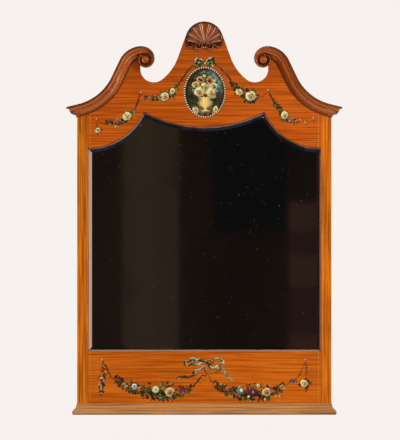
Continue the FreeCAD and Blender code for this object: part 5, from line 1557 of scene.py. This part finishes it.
class MIRROR_OT_oval(bpy.types.Operator):
    """Paints the oval with an urn of flowers, and its border of pearls"""

    bl_idname = "mirror.oval"
    bl_label = "Oval and pearls"

    def execute(self, context):
        settings = context.scene.mirror_oval
        self.ground(settings)
        self.pearls(settings)
        sheet = Sheet("oval_flowers", 47)
        self.urn(sheet)
        self.flowers(sheet)
        sheet.finish(painted_finish("oval_paint", 0.30))
        return {"FINISHED"}

    def ground(self, settings):
        """The dark ground of the oval, a low domed plaque."""
        lap, thickness, sunk = 0.0013, 0.0002, 0.00002
        let_go()
        bpy.ops.mesh.primitive_cylinder_add(vertices=96, radius=1.0, depth=1.0, location=(0, 0, 0))
        plaque = bpy.context.object
        bpy.ops.object.mode_set(mode="EDIT")
        pick(plaque, "FACE", upward)
        bpy.ops.mesh.inset(thickness=0.02, depth=0.15)
        bpy.ops.object.mode_set(mode="OBJECT")
        x, z = on_sheet(*OVAL_CENTRE)
        plaque.data.transform(
            Matrix(((settings.width / 2 + lap, 0, 0, x), (0, 0, -thickness, BOARD_FRONT + sunk),
                    (0, settings.height / 2 + lap, 0, z), (0, 0, 0, 1)))
        )
        plaque.name = "oval_ground"
        material, shader, place = new_material("oval_ground_paint")
        side, up = place.part(0), place.part(2)
        side = (side - x) * (2 / settings.width)
        up = (up - z) * (2 / settings.height)
        brush = place.noise(130.0, detail=4.0, twist=0.8)
        wash = brush.between(0.3, 0.7)
        sky = (side + up * 0.45 + wash * 0.5).between(0.35, 1.05) * up.between(-0.25, 0.35)
        dusk = wash.blend((0.012, 0.012, 0.004), (0.060, 0.056, 0.016))
        tone = sky.blend(dusk, wash.blend((0.05, 0.12, 0.10), (0.22, 0.36, 0.28)))
        earth = (1 - (up + wash * 0.12).between(-0.62, -0.42))
        tone = earth.blend(tone, wash.blend((0.060, 0.030, 0.010), (0.30, 0.18, 0.06)))
        edge = (side * side + up * up) ** 0.5
        tone = (edge.between(0.86, 1.0) * 0.8).blend(tone, (0.012, 0.008, 0.005))
        finish_with(material, shader, tone, wash * 0.1 + 0.26, brush)
        hand_over(plaque, material, "frame", "satinwood_board")

    def pearls(self, settings):
        """Pearls at even steps along the oval's edge, each with its shadow."""
        sheet = Sheet("pearl_border", 5)
        gap, steps = 1.35, 720
        across = settings.width / 2 / SHEET_SQUARE + gap
        down = settings.height / 2 / SHEET_SQUARE + gap
        ring = [(across * math.sin(math.tau * i / steps), down * math.cos(math.tau * i / steps))
                for i in range(steps + 1)]
        lengths = [0.0]
        for (a, b), (c, d) in zip(ring, ring[1:]):
            lengths.append(lengths[-1] + math.hypot(c - a, d - b))
        for index in range(settings.pearls):
            goal = lengths[-1] * (index + 0.5) / settings.pearls
            at = next(i for i, reach in enumerate(lengths) if reach >= goal)
            side, up = ring[at]
            turn = -math.degrees(math.atan2(side / across ** 2, up / down ** 2))
            lit = 1.0 + 0.14 * math.sin(math.radians(turn + 40))
            column, row = OVAL_CENTRE[0] + side, OVAL_CENTRE[1] - up
            sheet.dab(column + 0.1, row + 0.12, 1.16, (("shade", 0.75),), 0, 1.1, turn)
            sheet.dab(column, row, 0.66, (("pearl", 1.12 * lit), ("pearl", 0.78), ("straw", 0.5)), 6, 1.5,
                      turn)
        sheet.finish(painted_finish("pearl_paint", 0.24))

    def urn(self, sheet):
        """A pale stone urn on a ledge, shaded round its body."""
        stroke = sheet.stroke
        middle, foot = OVAL_CENTRE[0] + 0.6, OVAL_CENTRE[1] + 19.2
        profile = ((0, 5.4), (0.9, 5.4), (1.2, 3.6), (2.0, 1.7), (3.0, 1.4), (3.8, 2.0), (4.6, 4.4),
                   (6.2, 6.9), (8.0, 7.9), (9.6, 7.7), (11.0, 6.2), (12.0, 5.2), (12.8, 5.6), (13.6, 7.4),
                   (14.3, 7.6))
        shares = (-1.0, -0.72, -0.42, -0.08, 0.3, 0.62, 0.86, 1.0)
        lights = (0.40, 0.90, 1.2, 1.1, 0.78, 0.46, 0.25)
        let_go()
        bpy.ops.mesh.primitive_grid_add(
            x_subdivisions=len(shares) - 1, y_subdivisions=len(profile) - 1, size=1
        )
        urn = bpy.context.object
        for index, corner in enumerate(urn.data.vertices):
            level, across = divmod(index, len(shares))
            (up, half), share = profile[level], shares[across]
            swell = math.sqrt(1.0 - min(share * share, 0.98))
            corner.co = (middle + half * share, -foot + up, 1.0 + 2.4 * swell)
        for slot in range(len(lights)):
            urn.data.materials.append(None)
        for face in urn.data.polygons:
            face.material_index = min(
                range(len(lights)),
                key=lambda band: abs(
                    (face.center.x - middle) / profile_width(profile, face.center.y + foot)
                    - (shares[band] + shares[band + 1]) / 2
                ),
            )
        urn.data.transform(sheet_to_board(PAINT))
        take(urn)
        solid = urn.modifiers.new("back", "SOLIDIFY")
        solid.thickness = 0.00035
        solid.offset = -1
        bpy.ops.object.modifier_apply(modifier=solid.name)
        inks = tuple(tuple(part * light for part in INK["cream"]) for light in lights)
        fill_with_paint(urn.data, inks)
        sheet.marks.append(urn)
        for up, half, name in ((0.5, 4.6, "straw"), (4.5, 3.2, "straw"), (9.9, 7.0, "straw"),
                               (13.4, 6.6, "cream")):
            stroke([(middle - half, foot - up), (middle, foot - up + 0.7),
                    (middle + half * 0.9, foot - up)], 0.5, name, 11, 0.3, factor=0.8)
        for index in range(5):
            across = -4.6 + index * 2.3
            stroke([(middle + across, foot - 9.2), (middle + across * 0.9, foot - 7.2),
                    (middle + across * 0.62, foot - 5.2)], 0.42, "straw", 11, 0.3, factor=0.55)
        stroke([(middle - 14.6, foot + 0.2), (middle - 5, foot + 0.9), (middle + 6, foot + 0.9),
                (middle + 13.4, foot + 0.1)], 0.8, "straw", 2, 0.4, factor=0.7)
        stroke([(middle - 11, foot + 1.7), (middle, foot + 2.4), (middle + 10, foot + 1.7)], 0.7, "cream",
               2, 0.3, factor=0.55)
        stroke([(middle + 4.6, foot + 0.4), (middle + 9.2, foot + 0.6), (middle + 12.4, foot + 0.1)], 1,
               "moss", 3, 0.3)

    def flowers(self, sheet):
        """Cream roses, auburn blooms and leaves that rise out of the urn."""
        rose, small_flower = sheet.rose, sheet.small_flower
        middle, mouth = OVAL_CENTRE[0] + 0.6, OVAL_CENTRE[1] + 4.4
        for turn, reach in ((78, 12.5), (52, 13.5), (26, 15.5), (4, 17.0), (-20, 15.0), (-46, 13.0),
                            (-74, 12.0), (98, 10.0), (-98, 9.5)):
            lean = math.radians(turn)
            tip = (middle + reach * math.sin(-lean), mouth - 6 - reach * math.cos(lean))
            bend = ((middle + tip[0]) / 2, (mouth + tip[1]) / 2 - 1)
            sheet.stroke([(middle, mouth), bend, tip], 0.35,
                         "leaf", 1)
            sheet.spray(bend, tip, 7, 3.1, 0.9,
                        ("leaf", "fern", "leaf", "teal"), 2, 55)
        sheet.spray((middle - 8, mouth - 1), (middle + 8, mouth - 2), 16, 3.6, 1.4,
                    ("moss", "leaf", "fern"), 3, 70)
        for side, size in ((-10.0, 3.5), (10.2, 3.1)):
            rose(middle + side, mouth + 12.8, size, "ivory", "cream", "peach", 5)
            sheet.leaf(middle + side * 0.72, mouth + 13.6, 2.8, -side * 8, "fern", 6)
        rose(middle - 6.4, mouth - 4.4, 5.5, "ivory", "cream", "straw", 6)
        rose(middle + 5.8, mouth - 3.2, 5, "ivory", "cream", "peach", 7)
        rose(middle - 0.4, mouth - 9.6, 5.9, "ivory", "cream", "peach", 8)
        rose(middle + 8.6, mouth - 10.2, 4.2, "ivory", "peach", "auburn", 6)
        rose(middle - 9.6, mouth - 11.4, 3.9, "cream", "peach", "auburn", 6)
        rose(middle - 0.2, mouth - 1.2, 3.4, "peach", "auburn", "auburn", 10)
        rose(middle + 3.8, mouth - 16.2, 4.2, "peach", "auburn", "auburn", 7)
        rose(middle - 5, mouth - 16.8, 3.7, "peach", "auburn", "auburn", 7)
        small_flower(middle + 11.4, mouth - 5.4, 1.9, "blue", "haze", "straw", 5, 6)
        small_flower(middle - 12.2, mouth - 6.2, 1.8, "blue", "haze", "straw", 5, 6)
        small_flower(middle - 1, mouth - 20.6, 1.8, "sage", "ivory", "straw", 5, 6)
        small_flower(middle + 9.2, mouth - 15.8, 1.6, "sage", "ivory", "straw", 5, 6)
        sheet.berries(middle + 11, mouth - 1, 1.9, "madder", 5, 5)
        sheet.berries(middle - 11.2, mouth - 1.6, 1.7, "madder", 5, 5)
        for column, row, turn in ((-8.5, 16.9, 70), (-10.8, 15.9, 110), (7.6, 16.7, 300)):
            sheet.dab(middle + column, mouth + row, 0.95, ("ivory", "peach", ("straw", 0.5)), 5, 0.6,
                      turn)


STEPS = (
    MIRROR_OT_stage,
    MIRROR_OT_finishes,
    MIRROR_OT_mouldings,
    MIRROR_OT_shell,
    MIRROR_OT_rings,
    MIRROR_OT_oval,
    MIRROR_OT_bows,
    MIRROR_OT_crest_flowers,
    MIRROR_OT_apron_flowers,
)


class MIRROR_PT_panel(bpy.types.Panel):
    """Lists the steps and sizes of the mirror"""

    bl_idname = "MIRROR_PT_panel"
    bl_label = "Painted Mirror"
    bl_space_type = "VIEW_3D"
    bl_region_type = "UI"
    bl_category = "Mirror"

    def draw(self, context):
        for step in STEPS:
            self.layout.operator(step.bl_idname)
        for holder, group in SETTINGS:
            box = self.layout.box()
            for name in group.__annotations__:
                box.prop(getattr(context.scene, holder), name)


SETTINGS = (
    ("mirror_stage", MirrorStageSettings),
    ("mirror_finish", MirrorFinishSettings),
    ("mirror_oval", MirrorOvalSettings),
)


def register():
    for name, group in SETTINGS:
        bpy.utils.register_class(group)
        setattr(bpy.types.Scene, name, PointerProperty(type=group))
    for step in (*STEPS, MIRROR_PT_panel):
        bpy.utils.register_class(step)


def unregister():
    for step in reversed((*STEPS, MIRROR_PT_panel)):
        bpy.utils.unregister_class(step)
    for name, group in reversed(SETTINGS):
        delattr(bpy.types.Scene, name)
        bpy.utils.unregister_class(group)


def main():
    register()
    for step in STEPS:
        group, name = step.bl_idname.split(".")
        getattr(getattr(bpy.ops, group), name)()


if __name__ == "__main__":
    main()
